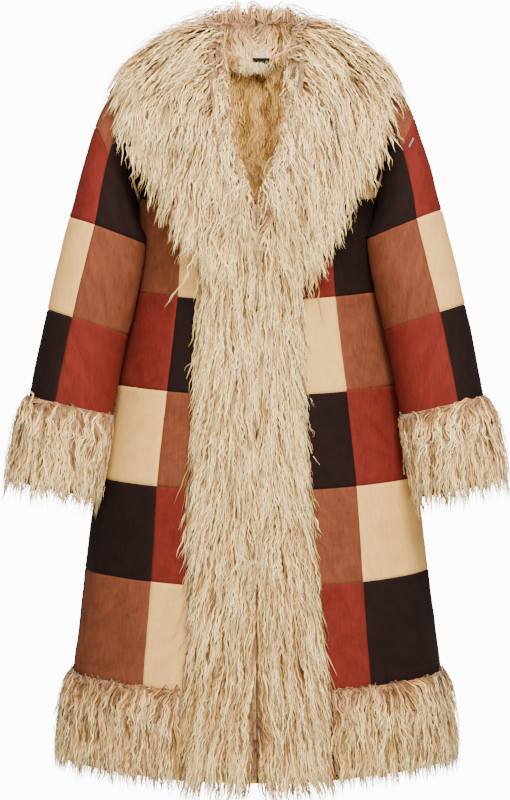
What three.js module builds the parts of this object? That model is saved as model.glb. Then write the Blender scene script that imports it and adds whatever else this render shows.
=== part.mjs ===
// A long patchwork coat with a wide shawl collar, front bands, hem band and cuffs of long wavy fur.
// It keeps the hollow shape it has when it is worn closed on a general figure, with the sleeves hanging.
// Sizes are in millimetres. +X is the wearer's left, -Y the front and +Z up.
// The origin lies between the shoulders, at shoulder height, where the wearer carries the coat.
import * as THREE from 'three';

const SHELL = 3;            // patchwork cloth with its backing
const SEAM_GAP = 0.3;       // between two pieces sewn together
const LIE_GAP = 0.8;        // between a panel's points and what lies on it
const PATCH_HEIGHT = 133;   // one patch and its seam, down the coat
const GROOVE_HALF = 2.2;    // half the width of the dip along a patch seam
const GROOVE_DEPTH = 1.2;
const BREAK_Z = -220;       // where the two fronts meet below the neck opening
const HEM_Z = -1020;        // lower edge of the cloth at the centre front
// The seam across the back where its skirt is sewn on.
const WAIST_Z = BREAK_Z - PATCH_HEIGHT;
const SIDE_RISE = 16;       // the rows of patches and the hem ride up this much at the side seams
const INNER_SEAM = 36;      // degrees round from the centre front to the seam between a front's two columns
const SIDE_SEAM_TOP = 90;   // degrees round to the side seam under the arm
const SIDE_SEAM_HEM = 80;   // and at the hem, where it has come forward

// Level sections of the body: half the width, depth in front and behind, and how square the oval is.
const BODY = [
  { z: -200, half: 171, front: 150, back: 128, power: 2.35 },
  { z: -225, half: 172, front: 150, back: 128, power: 2.35 },
  { z: -293, half: 173, front: 145, back: 122, power: 2.3 },
  { z: -353, half: 178, front: 140, back: 122, power: 2.28 },
  { z: -420, half: 190, front: 147, back: 131, power: 2.25 },
  { z: -493, half: 207, front: 157, back: 142, power: 2.2 },
  { z: -619, half: 231, front: 173, back: 160, power: 2.15 },
  { z: -752, half: 248, front: 187, back: 177, power: 2.1 },
  { z: -885, half: 265, front: 199, back: 193, power: 2.1 },
  { z: -1060, half: 286, front: 213, back: 211, power: 2.1 },
];

// Soft upright folds of the skirt, by degrees round from the centre front, minus to the wearer's right.
const SKIRT_FOLDS = [
  { angle: -66, width: 8, depth: 5, top: -560 },
  { angle: -50, width: 8, depth: -4, top: -620 },
  { angle: -33, width: 7, depth: -5, top: -480 },
  { angle: 31, width: 7, depth: -4, top: -560 },
  { angle: 62, width: 9, depth: 5, top: -600 },
  { angle: 104, width: 9, depth: 6, top: -560 },
  { angle: 128, width: 9, depth: -6, top: -500 },
  { angle: 154, width: 8, depth: 6, top: -540 },
  { angle: -110, width: 9, depth: 6, top: -520 },
  { angle: -134, width: 9, depth: -6, top: -560 },
  { angle: -160, width: 8, depth: 6, top: -500 },
];

// Edge of the neck opening down each front.
const NECK_EDGE = [
  { z: -220, x: 0 },
  { z: -200, x: 10 },
  { z: -180, x: 23 },
  { z: -155, x: 35 },
  { z: -125, x: 43 },
  { z: -85, x: 48 },
  { z: -45, x: 52 },
  { z: -5, x: 58 },
  { z: 24, x: 66 },
];
const NECK_SIDE_X = 66;
const NECK_SIDE_Z = 24;
const NECK_BACK_Y = 58;
const NECK_BACK_Z = 15;
const SHOULDER_X = 176;
const SHOULDER_Z = -16;
const RIDGE_Y = 2;          // the shoulder seam runs along the top of the shoulder
const CHEST_CURVE = 1.7;    // how the chest and the upper back round over to the shoulder

// The armhole, from under the arm up to the shoulder, and the sleeve's angle that is sewn to each point.
const ARMHOLE = [
  { part: 0, z: -204, frontX: 171.9, backX: 171.9, frontAngle: 180, backAngle: 180 },
  { part: 0.18, z: -196, frontX: 166.5, backX: 167.5, frontAngle: 153, backAngle: 205 },
  { part: 0.36, z: -168, frontX: 159, backX: 162, frontAngle: 126, backAngle: 230 },
  { part: 0.54, z: -130, frontX: 155, backX: 160, frontAngle: 99, backAngle: 255 },
  { part: 0.7, z: -94, frontX: 156, backX: 161, frontAngle: 71, backAngle: 281 },
  { part: 0.83, z: -60, frontX: 161, backX: 164, frontAngle: 48, backAngle: 311 },
  { part: 0.93, z: -34, frontX: 168.5, backX: 170, frontAngle: 24, backAngle: 336 },
  { part: 1, z: -16, frontX: 176, backX: 176, frontAngle: 0, backAngle: 360 },
];

// Rings of the sleeve, each an oval between an outer and an inner point, with its depth.
const SLEEVE = [
  { ring: 1, outerX: 201, outerZ: -36, innerX: 173.5, innerZ: -212, midY: -3, deep: 63 },
  { ring: 2, outerX: 218, outerZ: -64, innerX: 165, innerZ: -220, midY: -11, deep: 65 },
  { ring: 3, outerX: 231, outerZ: -95, innerX: 165, innerZ: -231, midY: -22, deep: 66 },
  { ring: 4, outerX: 250, outerZ: -160, innerX: 160, innerZ: -249, midY: -40, deep: 65 },
  { ring: 5, outerX: 266.7, outerZ: -226.5, innerX: 151, innerZ: -270, midY: -52, deep: 64 },
  { ring: 6, outerX: 283, outerZ: -293, innerX: 166, innerZ: -333, midY: -58, deep: 63 },
  { ring: 7, outerX: 298.3, outerZ: -359.5, innerX: 182, innerZ: -397, midY: -64, deep: 62 },
  { ring: 8, outerX: 311, outerZ: -423, innerX: 194, innerZ: -456, midY: -72, deep: 61 },
  { ring: 9, outerX: 322.7, outerZ: -487.3, innerX: 204, innerZ: -514.4, midY: -82, deep: 60 },
  { ring: 10, outerX: 344, outerZ: -606, innerX: 225, innerZ: -630, midY: -101, deep: 60 },
];
// Points round the sleeve, in degrees from the outer side by way of the front, with its three long seams.
const SLEEVE_ANGLES = [
  0, 24, 48, 68.9, 71, 73.1, 99, 126, 153, 180, 188.9, 191, 193.1, 205, 230, 255, 281, 308.9, 311, 313.1, 336,
];
const SLEEVE_SEAMS = [71, 191, 311];
const CLEAR_FROM_Y = 35;              // what hangs against the body is moved away from this depth
// How far the sleeve hangs from the body, by ring.
const SLEEVE_CLEAR = [
  { ring: 1, gap: 0.9 },
  { ring: 3, gap: 1 },
  { ring: 5, gap: 3 },
  { ring: 10, gap: 4 },
];

// Long soft creases of the sleeves, running from one ring to another.
const SLEEVE_CREASES = [
  { side: -1, fromRing: 3.2, toRing: 5.2, fromAngle: 100, toAngle: 128, width: 9, depth: 3.5 },
  { side: -1, fromRing: 5, toRing: 7, fromAngle: 88, toAngle: 118, width: 8, depth: 3 },
  { side: -1, fromRing: 4.6, toRing: 8.6, fromAngle: 262, toAngle: 240, width: 10, depth: 3.5 },
  { side: 1, fromRing: 4.4, toRing: 6.4, fromAngle: 118, toAngle: 92, width: 9, depth: 3.5 },
  { side: 1, fromRing: 6.4, toRing: 8.8, fromAngle: 84, toAngle: 122, width: 8, depth: 3 },
  { side: 1, fromRing: 4.6, toRing: 8.6, fromAngle: 258, toAngle: 236, width: 10, depth: 3.5 },
];

// The collar's fur side on the wearer's left, from the centre back round to the tip on the chest.
// Each station runs from the neck seam over the roll and the crest down to the outer edge.
const COLLAR = [
  { seam: [0, 50, 16.5], roll: [0, 56, 66], crest: [0, 86, 88], fall: [0, 147, 12], edge: [0, 157, -122] },
  { seam: [30, 42, 18.5], roll: [33, 46, 64], crest: [50, 72, 84], fall: [100, 128, 8], edge: [116, 136, -120] },
  { seam: [53, 20, 23], roll: [50, 23, 60], crest: [78, 38, 74], fall: [160, 78, 12], edge: [214, 84, -100] },
  { seam: [60, -5, 27], roll: [48, -8, 56], crest: [88, -8, 66], fall: [170, -8, 28], edge: [228, -10, -60] },
  { seam: [56, -36, 10], roll: [40, -50, 32], crest: [74, -70, 38], fall: [158, -102, -38], edge: [206, -104, -124] },
  { seam: [49, -104, -62], roll: [36, -122, -56], crest: [62, -145, -54], fall: [122, -146, -104], edge: [160, -126, -186] },
  { seam: [40, -140, -140], roll: [27, -158, -138], crest: [48, -176, -142], fall: [92, -173, -188], edge: [124, -156, -250] },
  { seam: [5, -158, -212], roll: [4, -172, -212], crest: [24, -188, -220], fall: [62, -182, -252], edge: [97, -166, -300] },
  { seam: [1, -153, -262], roll: [1, -164, -263], crest: [20, -180, -274], fall: [50, -176, -298], edge: [80, -163, -330] },
];
const COLLAR_POINTS = ['seam', 'roll', 'crest', 'fall', 'edge'];
const COLLAR_THICK = [5, 20, 36, 34, 11];
const COLLAR_CLEAR = 1.5;   // between its under side and the coat
const COLLAR_TIP = { seamZ: -262, edgeX: 80, edgeZ: -330 };

// How far the front bands' fur reaches from the centre front.
const BAND = [
  { z: -260, right: 84, left: 76 },
  { z: -353, right: 88, left: 68 },
  { z: -489, right: 90, left: 71 },
  { z: -619, right: 98, left: 76 },
  { z: -751, right: 100, left: 88 },
  { z: -900, right: 103, left: 102 },
  { z: -1060, right: 108, left: 108 },
];
const BAND_PILE = 26;
const HEM_BAND_TOP = -897;
const HEM_PILE = 20;
const HEM_TIPS = 17;        // the fur hangs this far below the cloth's edge
const CUFF_PILE = 21;
const CUFF_TIPS = 24;

const LINING_PILE = 7;
const LABEL = { x: 7, width: 25, height: 15, thick: 1.2, top: 8, lift: 6 };
const LOOP = { width: 22, top: -12, drop: 12, radius: 1.3, lift: 5.2 };
const TAB = { angle: 53, ring: 3.13, halfAngle: 7, halfRing: 0.035, thick: 1.4, lift: 0.1 };

const COLOURS = { rust: 0x96382a, tan: 0xa05a36, cream: 0xd8bb92, brown: 0x2b1815, fur: 0xdcc6a6, lining: 0xb98b52 };

const radians = (degrees) => (degrees * Math.PI) / 180;
const mix = (a, b, part) => a + (b - a) * part;
const clamp = (value, low, high) => Math.min(high, Math.max(low, value));
const power = (base, exponent) => Math.sign(base) * Math.abs(base) ** exponent;
const vector = (x, y, z) => new THREE.Vector3(x, y, z);

// Smooth value of a table's column at a place along its key column.
function column(table, key, at, name) {
  const rising = table[1][key] > table[0][key];
  let i = 0;
  while (i < table.length - 2 && (rising ? at > table[i + 1][key] : at < table[i + 1][key])) i += 1;
  const read = (k) => table[clamp(k, 0, table.length - 1)];
  const span = read(i + 1)[key] - read(i)[key];
  const part = clamp((at - read(i)[key]) / span, -1, 2);
  if (part <= 0 || part >= 1) return mix(read(i)[name], read(i + 1)[name], part);
  const slope = (k) => {
    if (k === 0) return (read(1)[name] - read(0)[name]) / (read(1)[key] - read(0)[key]);
    if (k === table.length - 1) return (read(k)[name] - read(k - 1)[name]) / (read(k)[key] - read(k - 1)[key]);
    return (read(k + 1)[name] - read(k - 1)[name]) / (read(k + 1)[key] - read(k - 1)[key]);
  };
  const square = part * part;
  const cube = square * part;
  return (
    (2 * cube - 3 * square + 1) * read(i)[name] + (cube - 2 * square + part) * span * slope(i)
    + (3 * square - 2 * cube) * read(i + 1)[name] + (cube - square) * span * slope(i + 1)
  );
}

// A closed solid between two grids of points of the same size, [row][column]. From the column turnFrom on,
// its facets are split the other way.
function solidBetween(outer, inner, round, turnFrom = Infinity) {
  const rows = outer.length;
  const columns = outer[0].length;
  const points = [...outer.flat(), ...inner.flat()];
  const under = rows * columns;
  const at = (j, i) => j * columns + (i % columns);
  const faces = [];
  const quad = (a, b, c, d) => faces.push(a, b, c, a, c, d);
  for (let j = 0; j < rows - 1; j += 1) {
    for (let i = 0; i < (round ? columns : columns - 1); i += 1) {
      const corners = [at(j, i), at(j + 1, i), at(j + 1, i + 1), at(j, i + 1)];
      if (i >= turnFrom) corners.push(corners.shift());
      const [a, b, c, d] = corners;
      quad(a, b, c, d);
      quad(under + a, under + d, under + c, under + b);
    }
  }
  for (let i = 0; i < (round ? columns : columns - 1); i += 1) {
    quad(at(0, i), at(0, i + 1), under + at(0, i + 1), under + at(0, i));
    quad(at(rows - 1, i + 1), at(rows - 1, i), under + at(rows - 1, i), under + at(rows - 1, i + 1));
  }
  for (let j = 0; !round && j < rows - 1; j += 1) {
    quad(at(j + 1, 0), at(j, 0), under + at(j, 0), under + at(j + 1, 0));
    quad(at(j, columns - 1), at(j + 1, columns - 1), under + at(j + 1, columns - 1), under + at(j, columns - 1));
  }
  let volume = 0;
  for (let f = 0; f < faces.length; f += 3) {
    const [a, b, c] = [points[faces[f]], points[faces[f + 1]], points[faces[f + 2]]];
    volume += a.dot(vector().crossVectors(b, c));
  }
  if (volume < 0) faces.reverse();
  const geometry = new THREE.BufferGeometry();
  geometry.setAttribute('position', new THREE.Float32BufferAttribute(points.flatMap((p) => [p.x, p.y, p.z]), 3));
  geometry.setIndex(faces);
  geometry.computeVertexNormals();
  return geometry;
}

// Outward normals of a grid of points. away gives, for a point, a direction that is roughly outward.
function gridNormals(points, round, away) {
  const rows = points.length;
  const columns = points[0].length;
  const pick = (j, i) => points[clamp(j, 0, rows - 1)][round ? (i + columns) % columns : clamp(i, 0, columns - 1)];
  return points.map((line, j) => line.map((p, i) => {
    const across = pick(j, i + 1).clone().sub(pick(j, i - 1));
    const down = pick(j + 1, i).clone().sub(pick(j - 1, i));
    const normal = vector().crossVectors(down, across).normalize();
    return normal.dot(away(p)) < 0 ? normal.negate() : normal;
  }));
}

const moved = (points, normals, distance) => points.map((line, j) => line.map((p, i) => (
  p.clone().addScaledVector(normals[j][i], typeof distance === 'function' ? distance(j, i) : distance)
)));

// Draws the border of a grid in by half a seam gap, on the sides named.
function parted(points, sides) {
  const last = points.length - 1;
  const end = points[0].length - 1;
  const shift = (p, towards) => p.clone().add(towards.clone().sub(p).setLength(SEAM_GAP / 2));
  return points.map((line, j) => line.map((p, i) => {
    let q = p;
    if (sides.includes('start') && i === 0) q = shift(q, line[1]);
    if (sides.includes('end') && i === end) q = shift(q, line[end - 1]);
    if (sides.includes('top') && j === 0) q = shift(q, points[1][i]);
    if (sides.includes('bottom') && j === last) q = shift(q, points[last - 1][i]);
    return q;
  }));
}

// The body

function section(z) {
  return {
    half: column(BODY, 'z', z, 'half'),
    front: column(BODY, 'z', z, 'front'),
    back: column(BODY, 'z', z, 'back'),
    power: column(BODY, 'z', z, 'power'),
  };
}

function skirtFold(angle, z) {
  let sum = 0;
  for (const fold of SKIRT_FOLDS) {
    const fall = clamp((fold.top - z) / (fold.top - HEM_Z), 0, 1.1);
    const off = (angle - fold.angle) / fold.width;
    sum += fold.depth * fall * Math.exp(-off * off);
  }
  return sum;
}

// A point of the body's outside below the arms. angle runs from 0 at the centre front to 180 at the back.
function bodyPoint(side, angle, z) {
  const oval = section(z);
  const sine = Math.sin(radians(angle));
  const cosine = Math.cos(radians(angle));
  const depth = cosine > 0 ? oval.front : oval.back;
  const swell = 1 + skirtFold(side * angle, z) / oval.half;
  return vector(
    side * oval.half * swell * power(sine, 2 / oval.power),
    -depth * swell * power(cosine, 2 / oval.power),
    z + SIDE_RISE * sine * sine,
  );
}

const sideSeam = (z) => mix(SIDE_SEAM_TOP, SIDE_SEAM_HEM, clamp((BREAK_Z - z) / (BREAK_Z - HEM_Z), 0, 1));

// Places across a panel are counted in patches: 0 to 2 from the centre front to the side, or on to the back.
function panelAngle(face, across, z) {
  const seam = sideSeam(z);
  if (face === 'back') return mix(seam, 180, across / 2);
  return across <= 1 ? INNER_SEAM * across : mix(INNER_SEAM, seam, across - 1);
}

// Where the body ends above: the shoulder seam, and the neckline at the back.
function topEdge(face, x) {
  const wide = Math.abs(x);
  if (wide >= NECK_SIDE_X) {
    const part = (wide - NECK_SIDE_X) / (SHOULDER_X - NECK_SIDE_X);
    return { y: RIDGE_Y, z: mix(NECK_SIDE_Z, SHOULDER_Z, part) };
  }
  const part = wide / NECK_SIDE_X;
  if (face === 'front') return { y: RIDGE_Y, z: NECK_SIDE_Z + (1 - part) * 6 };
  return {
    y: mix(RIDGE_Y, NECK_BACK_Y, Math.cos((Math.PI / 2) * part ** 1.5)),
    z: mix(NECK_BACK_Z, NECK_SIDE_Z, part * part),
  };
}

// Depth of the chest or the upper back at a place above the underarm.
function chestY(face, x, z) {
  const oval = section(BREAK_Z);
  const wide = Math.min(Math.abs(x) / oval.half, 1);
  const depth = (face === 'front' ? -oval.front : oval.back) * (1 - wide ** oval.power) ** (1 / oval.power);
  const start = BREAK_Z + SIDE_RISE * wide * wide;
  const top = topEdge(face, x);
  const climb = clamp((z - start) / (top.z - start), 0, 1);
  return mix(top.y, depth, (1 - climb ** CHEST_CURVE) ** (1 / CHEST_CURVE));
}

// Share of the way from the panel's inner edge to the armhole, for a column.
function spread(face, across, part) {
  const oval = section(BREAK_Z);
  const share = power(Math.sin(radians(panelAngle(face, across, BREAK_Z))), 2 / oval.power);
  if (face === 'front') return share;
  const neckShare = NECK_SIDE_X / SHOULDER_X;
  const lowShare = power(Math.sin(radians(panelAngle(face, 1.5, BREAK_Z))), 2 / oval.power);
  const lifted = share < lowShare
    ? (share * neckShare) / lowShare
    : mix(neckShare, 1, (share - lowShare) / (1 - lowShare));
  return mix(share, lifted, part);
}

function chestPoint(side, face, across, part) {
  const share = spread(face, across, part);
  const innerZ = mix(BREAK_Z, face === 'front' ? NECK_SIDE_Z : NECK_BACK_Z, part);
  const innerX = face === 'front' ? column(NECK_EDGE, 'z', innerZ, 'x') : 0;
  const armX = column(ARMHOLE, 'part', part, `${face}X`);
  const armZ = column(ARMHOLE, 'part', part, 'z');
  const x = mix(innerX, armX, share);
  if (part === 1) {
    const top = topEdge(face, x);
    return vector(side * x, top.y, top.z);
  }
  const bend = mix(section(BREAK_Z).power, 1, part);
  const z = mix(innerZ, armZ, share ** bend);
  return vector(side * x, chestY(face, x, z), z);
}

// Rows of a panel from the shoulder down. part is above the underarm, z below it.
function panelRows() {
  const rows = [];
  for (const row of [...ARMHOLE].reverse()) if (row.part > 0) rows.push({ part: row.part });
  const groove = GROOVE_HALF;
  for (let patch = 0; patch < 6; patch += 1) {
    const z = BREAK_Z - PATCH_HEIGHT * patch;
    if (patch > 0 && patch < 5) rows.push({ z: z + groove });
    rows.push({ z, seam: patch < 5 });
    if (patch < 5) rows.push({ z: z - groove });
    if (patch < 5) rows.push({ z: z - PATCH_HEIGHT / 2 });
  }
  rows.push({ z: (BREAK_Z - PATCH_HEIGHT * 5 + HEM_Z) / 2 }, { z: HEM_Z });
  return rows;
}

function panelColumns(face) {
  const groove = GROOVE_HALF / PATCH_HEIGHT;
  return face === 'front'
    ? [0, 0.34, 0.67, 1 - groove, 1, 1 + groove, 1.25, 1.5, 1.75, 2]
    : [0, 0.25, 0.5, 0.75, 1 - groove, 1, 1 + groove, 1.25, 1.5, 1.75, 2];
}

// One front or back of the coat, as a grid of outside points and normals.
function panel(side, face) {
  const rows = panelRows();
  const columns = panelColumns(face);
  const points = rows.map((row) => columns.map((across) => (
    row.part === undefined
      ? bodyPoint(side, panelAngle(face, across, row.z), row.z)
      : chestPoint(side, face, across, row.part)
  )));
  const axis = (p) => vector(p.x, p.y, p.z > BREAK_Z ? 60 : 0);
  const normals = gridNormals(points, false, axis);
  const up = vector(side * (NECK_SIDE_Z - SHOULDER_Z), 0, SHOULDER_X - NECK_SIDE_X).normalize();
  normals[0] = points[0].map((p) => {
    const part = clamp(Math.abs(p.x) / NECK_SIDE_X, 0, 1);
    return up.clone().lerp(vector(0, 0.55, 0.83), 1 - part).normalize();
  });
  return { side, face, rows, columns, points, normals };
}

// Gives points that two panels share the same normal, so that their walls stay parallel at the seam.
function weldNormals(panels) {
  const key = (p) => [p.x, p.y, p.z].map((v) => Math.round(v * 5)).join();
  const sums = new Map();
  for (const item of panels) {
    item.points.forEach((line, j) => j > 0 && line.forEach((p, i) => {
      const sum = sums.get(key(p)) ?? vector(0, 0, 0);
      sums.set(key(p), sum.add(item.normals[j][i]));
    }));
  }
  for (const item of panels) {
    item.points.forEach((line, j) => j > 0 && line.forEach((p, i) => {
      item.normals[j][i] = sums.get(key(p)).clone().normalize();
    }));
  }
}

// The wall of a panel between two of its rows.
function panelGeometry(item, from, to) {
  const dip = (j, i) => {
    const row = item.rows[from + j];
    const onSeam = row.seam || item.columns[i] === 1;
    return onSeam && row.part === undefined ? -GROOVE_DEPTH : 0;
  };
  const sides = ['start', 'end', 'top'];
  if (to < item.rows.length - 1) sides.push('bottom');
  const points = parted(item.points.slice(from, to + 1), sides);
  const normals = item.normals.slice(from, to + 1);
  return solidBetween(moved(points, normals, dip), moved(points, normals, -SHELL), false);
}

// True where a point lies in the body's oval, or less than margin from it, below the underarm.
function insideBody(p, margin) {
  const oval = section(p.z - (SIDE_RISE * 2) / 3);
  const depth = p.y < 0 ? oval.front : oval.back;
  const across = (Math.abs(p.x) / (oval.half + margin)) ** oval.power;
  return across + (Math.abs(p.y) / (depth + margin)) ** oval.power < 1;
}

// Moves a point forward and out to the side until it is clear of the body.
function clearOfBody(p, margin) {
  if (p.z > BREAK_Z + 20) return p;
  const step = vector(p.x * 0.45, p.y - CLEAR_FROM_Y, 0).setLength(0.4);
  const clear = p.clone();
  for (let k = 0; k < 120 && insideBody(clear, margin); k += 1) clear.add(step);
  return clear;
}

// The sleeves

const sleeveCentre = (side, ring) => vector(
  (side * (column(SLEEVE, 'ring', ring, 'outerX') + column(SLEEVE, 'ring', ring, 'innerX'))) / 2,
  column(SLEEVE, 'ring', ring, 'midY'),
  (column(SLEEVE, 'ring', ring, 'outerZ') + column(SLEEVE, 'ring', ring, 'innerZ')) / 2,
);

function sleevePoint(side, angle, ring) {
  const centre = sleeveCentre(side, ring);
  const halfX = (column(SLEEVE, 'ring', ring, 'outerX') - column(SLEEVE, 'ring', ring, 'innerX')) / 2;
  const halfZ = (column(SLEEVE, 'ring', ring, 'outerZ') - column(SLEEVE, 'ring', ring, 'innerZ')) / 2;
  const cosine = Math.cos(radians(angle));
  let crease = 0;
  for (const line of SLEEVE_CREASES) {
    if (line.side !== side) continue;
    const part = (ring - line.fromRing) / (line.toRing - line.fromRing);
    if (part < 0 || part > 1) continue;
    const off = (angle - mix(line.fromAngle, line.toAngle, part)) / line.width;
    crease += line.depth * Math.sin(Math.PI * part) * Math.exp(-off * off);
  }
  const deep = column(SLEEVE, 'ring', ring, 'deep');
  const size = 1 - crease / deep;
  const p = vector(
    centre.x + side * halfX * cosine * size,
    centre.y - deep * Math.sin(radians(angle)) * size,
    centre.z + halfZ * cosine * size,
  );
  return clearOfBody(p, column(SLEEVE_CLEAR, 'ring', ring, 'gap'));
}

// The armhole's edge as the sleeve meets it: the front panel's edge down, and the back panel's up again.
function armholeEdge(front, back) {
  const down = [...ARMHOLE].reverse();
  const frontEdge = down.map((row, j) => ({ angle: row.frontAngle, item: front, j, i: front.columns.length - 1 }));
  const backEdge = down.map((row, j) => ({ angle: row.backAngle, item: back, j, i: 0 }));
  return [...frontEdge, ...backEdge.reverse().slice(1)];
}

function onEdge(edge, angle, read) {
  let k = 0;
  while (k < edge.length - 2 && angle > edge[k + 1].angle) k += 1;
  const part = (angle - edge[k].angle) / (edge[k + 1].angle - edge[k].angle);
  return read(edge[k]).clone().lerp(read(edge[k + 1]), part);
}

function sleeve(side, front, back) {
  const angles = SLEEVE_ANGLES.map((angle) => ({ angle, seam: SLEEVE_SEAMS.includes(angle) }));
  const small = GROOVE_HALF / 66;
  const rings = [
    { ring: 0 }, { ring: 1 }, { ring: 2 }, { ring: 3, seam: true }, { ring: 3 + small }, { ring: 4 },
    { ring: 5 - small }, { ring: 5, seam: true }, { ring: 5 + small }, { ring: 6 },
    { ring: 7 - small }, { ring: 7, seam: true }, { ring: 7 + small }, { ring: 8 }, { ring: 9 }, { ring: 9.5 }, { ring: 10 },
  ];
  const edge = armholeEdge(front, back);
  const points = rings.map(({ ring }) => angles.map(({ angle }) => (
    ring === 0 ? onEdge(edge, angle, ({ item, j, i }) => item.points[j][i]) : sleevePoint(side, angle, ring)
  )));
  const rough = sleeveCentre(side, 1);
  const normals = points.map((line, j) => {
    const centre = rings[j].ring === 0 ? rough : sleeveCentre(side, Math.max(rings[j].ring, 1));
    return gridNormals(points, true, (p) => p.clone().sub(centre))[j];
  });
  // The wall leans the same way on both sides of the armhole seam.
  for (const place of edge) {
    const own = normals[0][SLEEVE_ANGLES.indexOf(place.angle % 360)];
    place.shared = place.item.normals[place.j][place.i].clone().add(own).normalize();
  }
  edge[edge.length - 1].shared = edge[0].shared;
  for (const place of edge) place.item.normals[place.j][place.i] = place.shared;
  back.normals[ARMHOLE.length - 1][0] = edge[ARMHOLE.length - 1].shared;
  normals[0] = angles.map(({ angle }) => onEdge(edge, angle, (place) => place.shared));
  // Its edge stands off the armhole to the side.
  points[0] = points[0].map((p, i) => {
    const away = points[1][i].clone().sub(p).normalize().add(vector(side * 1.4, 0, 0.4));
    return p.clone().add(away.setLength(SEAM_GAP * 3));
  });
  const dip = (j, i) => ((rings[j].seam || angles[i].seam) && rings[j].ring > 0 ? -GROOVE_DEPTH : 0);
  return {
    geometry: solidBetween(moved(points, normals, dip), moved(points, normals, -SHELL), true),
    points,
    normals,
    rings,
    angles,
  };
}

// The fur

// Height of the locks over the mean pile, from -1 to 1, wavering across and down like combed hair.
const locks = (across, down) => 0.6 * Math.sin(across + 0.9 * Math.sin(down * 0.9)) + 0.4 * Math.sin(across * 0.43 + down * 1.7);

// Reads a panel's facets at a level below the underarm.
function level(item, z) {
  const rows = item.rows.map((row, j) => ({ ...row, j })).filter((row) => row.part === undefined);
  let r = 0;
  while (r < rows.length - 2 && z < rows[r + 1].z) r += 1;
  const down = (z - rows[r].z) / (rows[r + 1].z - rows[r].z);
  const between = (grid, i) => grid[rows[r].j][i].clone().lerp(grid[rows[r + 1].j][i], down);
  const last = item.columns.length - 1;
  const read = (grid, place) => {
    const i = clamp(Math.floor(place), 0, last - 1);
    return between(grid, i).lerp(between(grid, i + 1), place - i);
  };
  return {
    last,
    point: (place) => read(item.points, place),
    normal: (place) => read(item.normals, place).normalize(),
    // The place, counted in columns, that is this far from the coat's middle.
    find: (x) => {
      const wide = item.columns.map((_, i) => Math.abs(between(item.points, i).x));
      let i = 0;
      while (i < last - 1 && x > wide[i + 1]) i += 1;
      return i + (x - wide[i]) / (wide[i + 1] - wide[i]);
    },
  };
}

// The fur band down one front edge, on top of the front panel.
function bandGeometry(item) {
  const reach = item.side > 0 ? 'left' : 'right';
  const across = [0, 0.1, 0.25, 0.42, 0.6, 0.78, 0.92, 1];
  const pile = [0.45, 0.78, 0.96, 1, 0.98, 0.84, 0.52, 0.14];
  const steps = 26;
  const top = [];
  const base = [];
  for (let j = 0; j <= steps; j += 1) {
    const topLine = [];
    const baseLine = [];
    across.forEach((share, i) => {
      const start = COLLAR_TIP.seamZ - 4 + (COLLAR_TIP.edgeZ - COLLAR_TIP.seamZ - 4) * share;
      const part = j / steps;
      const z = mix(start, HEM_Z, part);
      const line = level(item, z);
      const place = line.find(mix(1, column(BAND, 'z', z, reach), share));
      const point = line.point(place);
      const normal = line.normal(place);
      const wave = 1 + 0.1 * locks(share * 11, part * 34);
      const round = Math.min(1, 0.75 + j * 0.25);
      const tips = j === steps ? HEM_TIPS * (0.85 + 0.3 * locks(share * 14, 3)) : 0;
      const high = BAND_PILE * pile[i] * wave * round * (j === steps ? 0.45 : 1);
      baseLine.push(point.clone().addScaledVector(normal, LIE_GAP));
      topLine.push(point.clone().addScaledVector(normal, LIE_GAP + high).add(vector(0, 0, -tips)));
    });
    top.push(topLine);
    base.push(baseLine);
  }
  return solidBetween(top, base, false);
}

// The hem's fur band over one panel, or over both backs. On a front it starts beside the front band.
function hemGeometry(item, other) {
  const down = [0, 0.05, 0.2, 0.451, 0.75, 1];
  const pile = [0.25, 0.68, 0.98, 1.04, 1, 0.62];
  const last = item.columns.length - 1;
  const edge = (z) => level(item, z).find(column(BAND, 'z', z, item.side > 0 ? 'left' : 'right') + 1.5);
  // Its columns are the panel's own, and ones half way between, but not those beside a seam.
  const onward = [];
  for (let i = 0.5; i <= last; i += 0.5) {
    const [before, after] = [item.columns[Math.floor(i)], item.columns[Math.ceil(i)]];
    const beside = [before, after].some((across) => Math.abs(across - 1) > 0.001 && Math.abs(across - 1) < 0.05);
    if (!beside) onward.push(i);
  }
  const places = [];
  if (item.face === 'front') {
    places.push({ piece: item });
    const clear = Math.ceil(edge(HEM_BAND_TOP) + 0.05);
    for (const place of onward.filter((i) => i >= clear && i < last)) places.push({ piece: item, place });
    places.push({ piece: item, place: last - 0.02 });
  } else {
    places.push({ piece: item, place: 0.02 });
    for (const place of onward) places.push({ piece: item, place });
    for (const place of [...onward].reverse().slice(1)) places.push({ piece: other, place });
    places.push({ piece: other, place: 0.02 });
  }
  const top = [];
  const base = [];
  down.forEach((share, j) => {
    const z = mix(HEM_BAND_TOP, HEM_Z, share);
    const topLine = [];
    const baseLine = [];
    places.forEach(({ piece, place }) => {
      const line = level(piece, z);
      const at = place ?? edge(z);
      const point = line.point(at);
      const normal = line.normal(at);
      const turn = Math.atan2(point.y, point.x);
      const wave = 1 + 0.12 * locks(turn * 16, share * 5);
      const tips = j === down.length - 1 ? HEM_TIPS * (0.9 + 0.35 * locks(turn * 21, 2)) : 0;
      baseLine.push(point.clone().addScaledVector(normal, LIE_GAP));
      topLine.push(point.clone().addScaledVector(normal, LIE_GAP + HEM_PILE * pile[j] * wave).add(vector(0, 0, -tips)));
    });
    top.push(topLine);
    base.push(baseLine);
  });
  return solidBetween(top, base, false);
}

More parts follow.
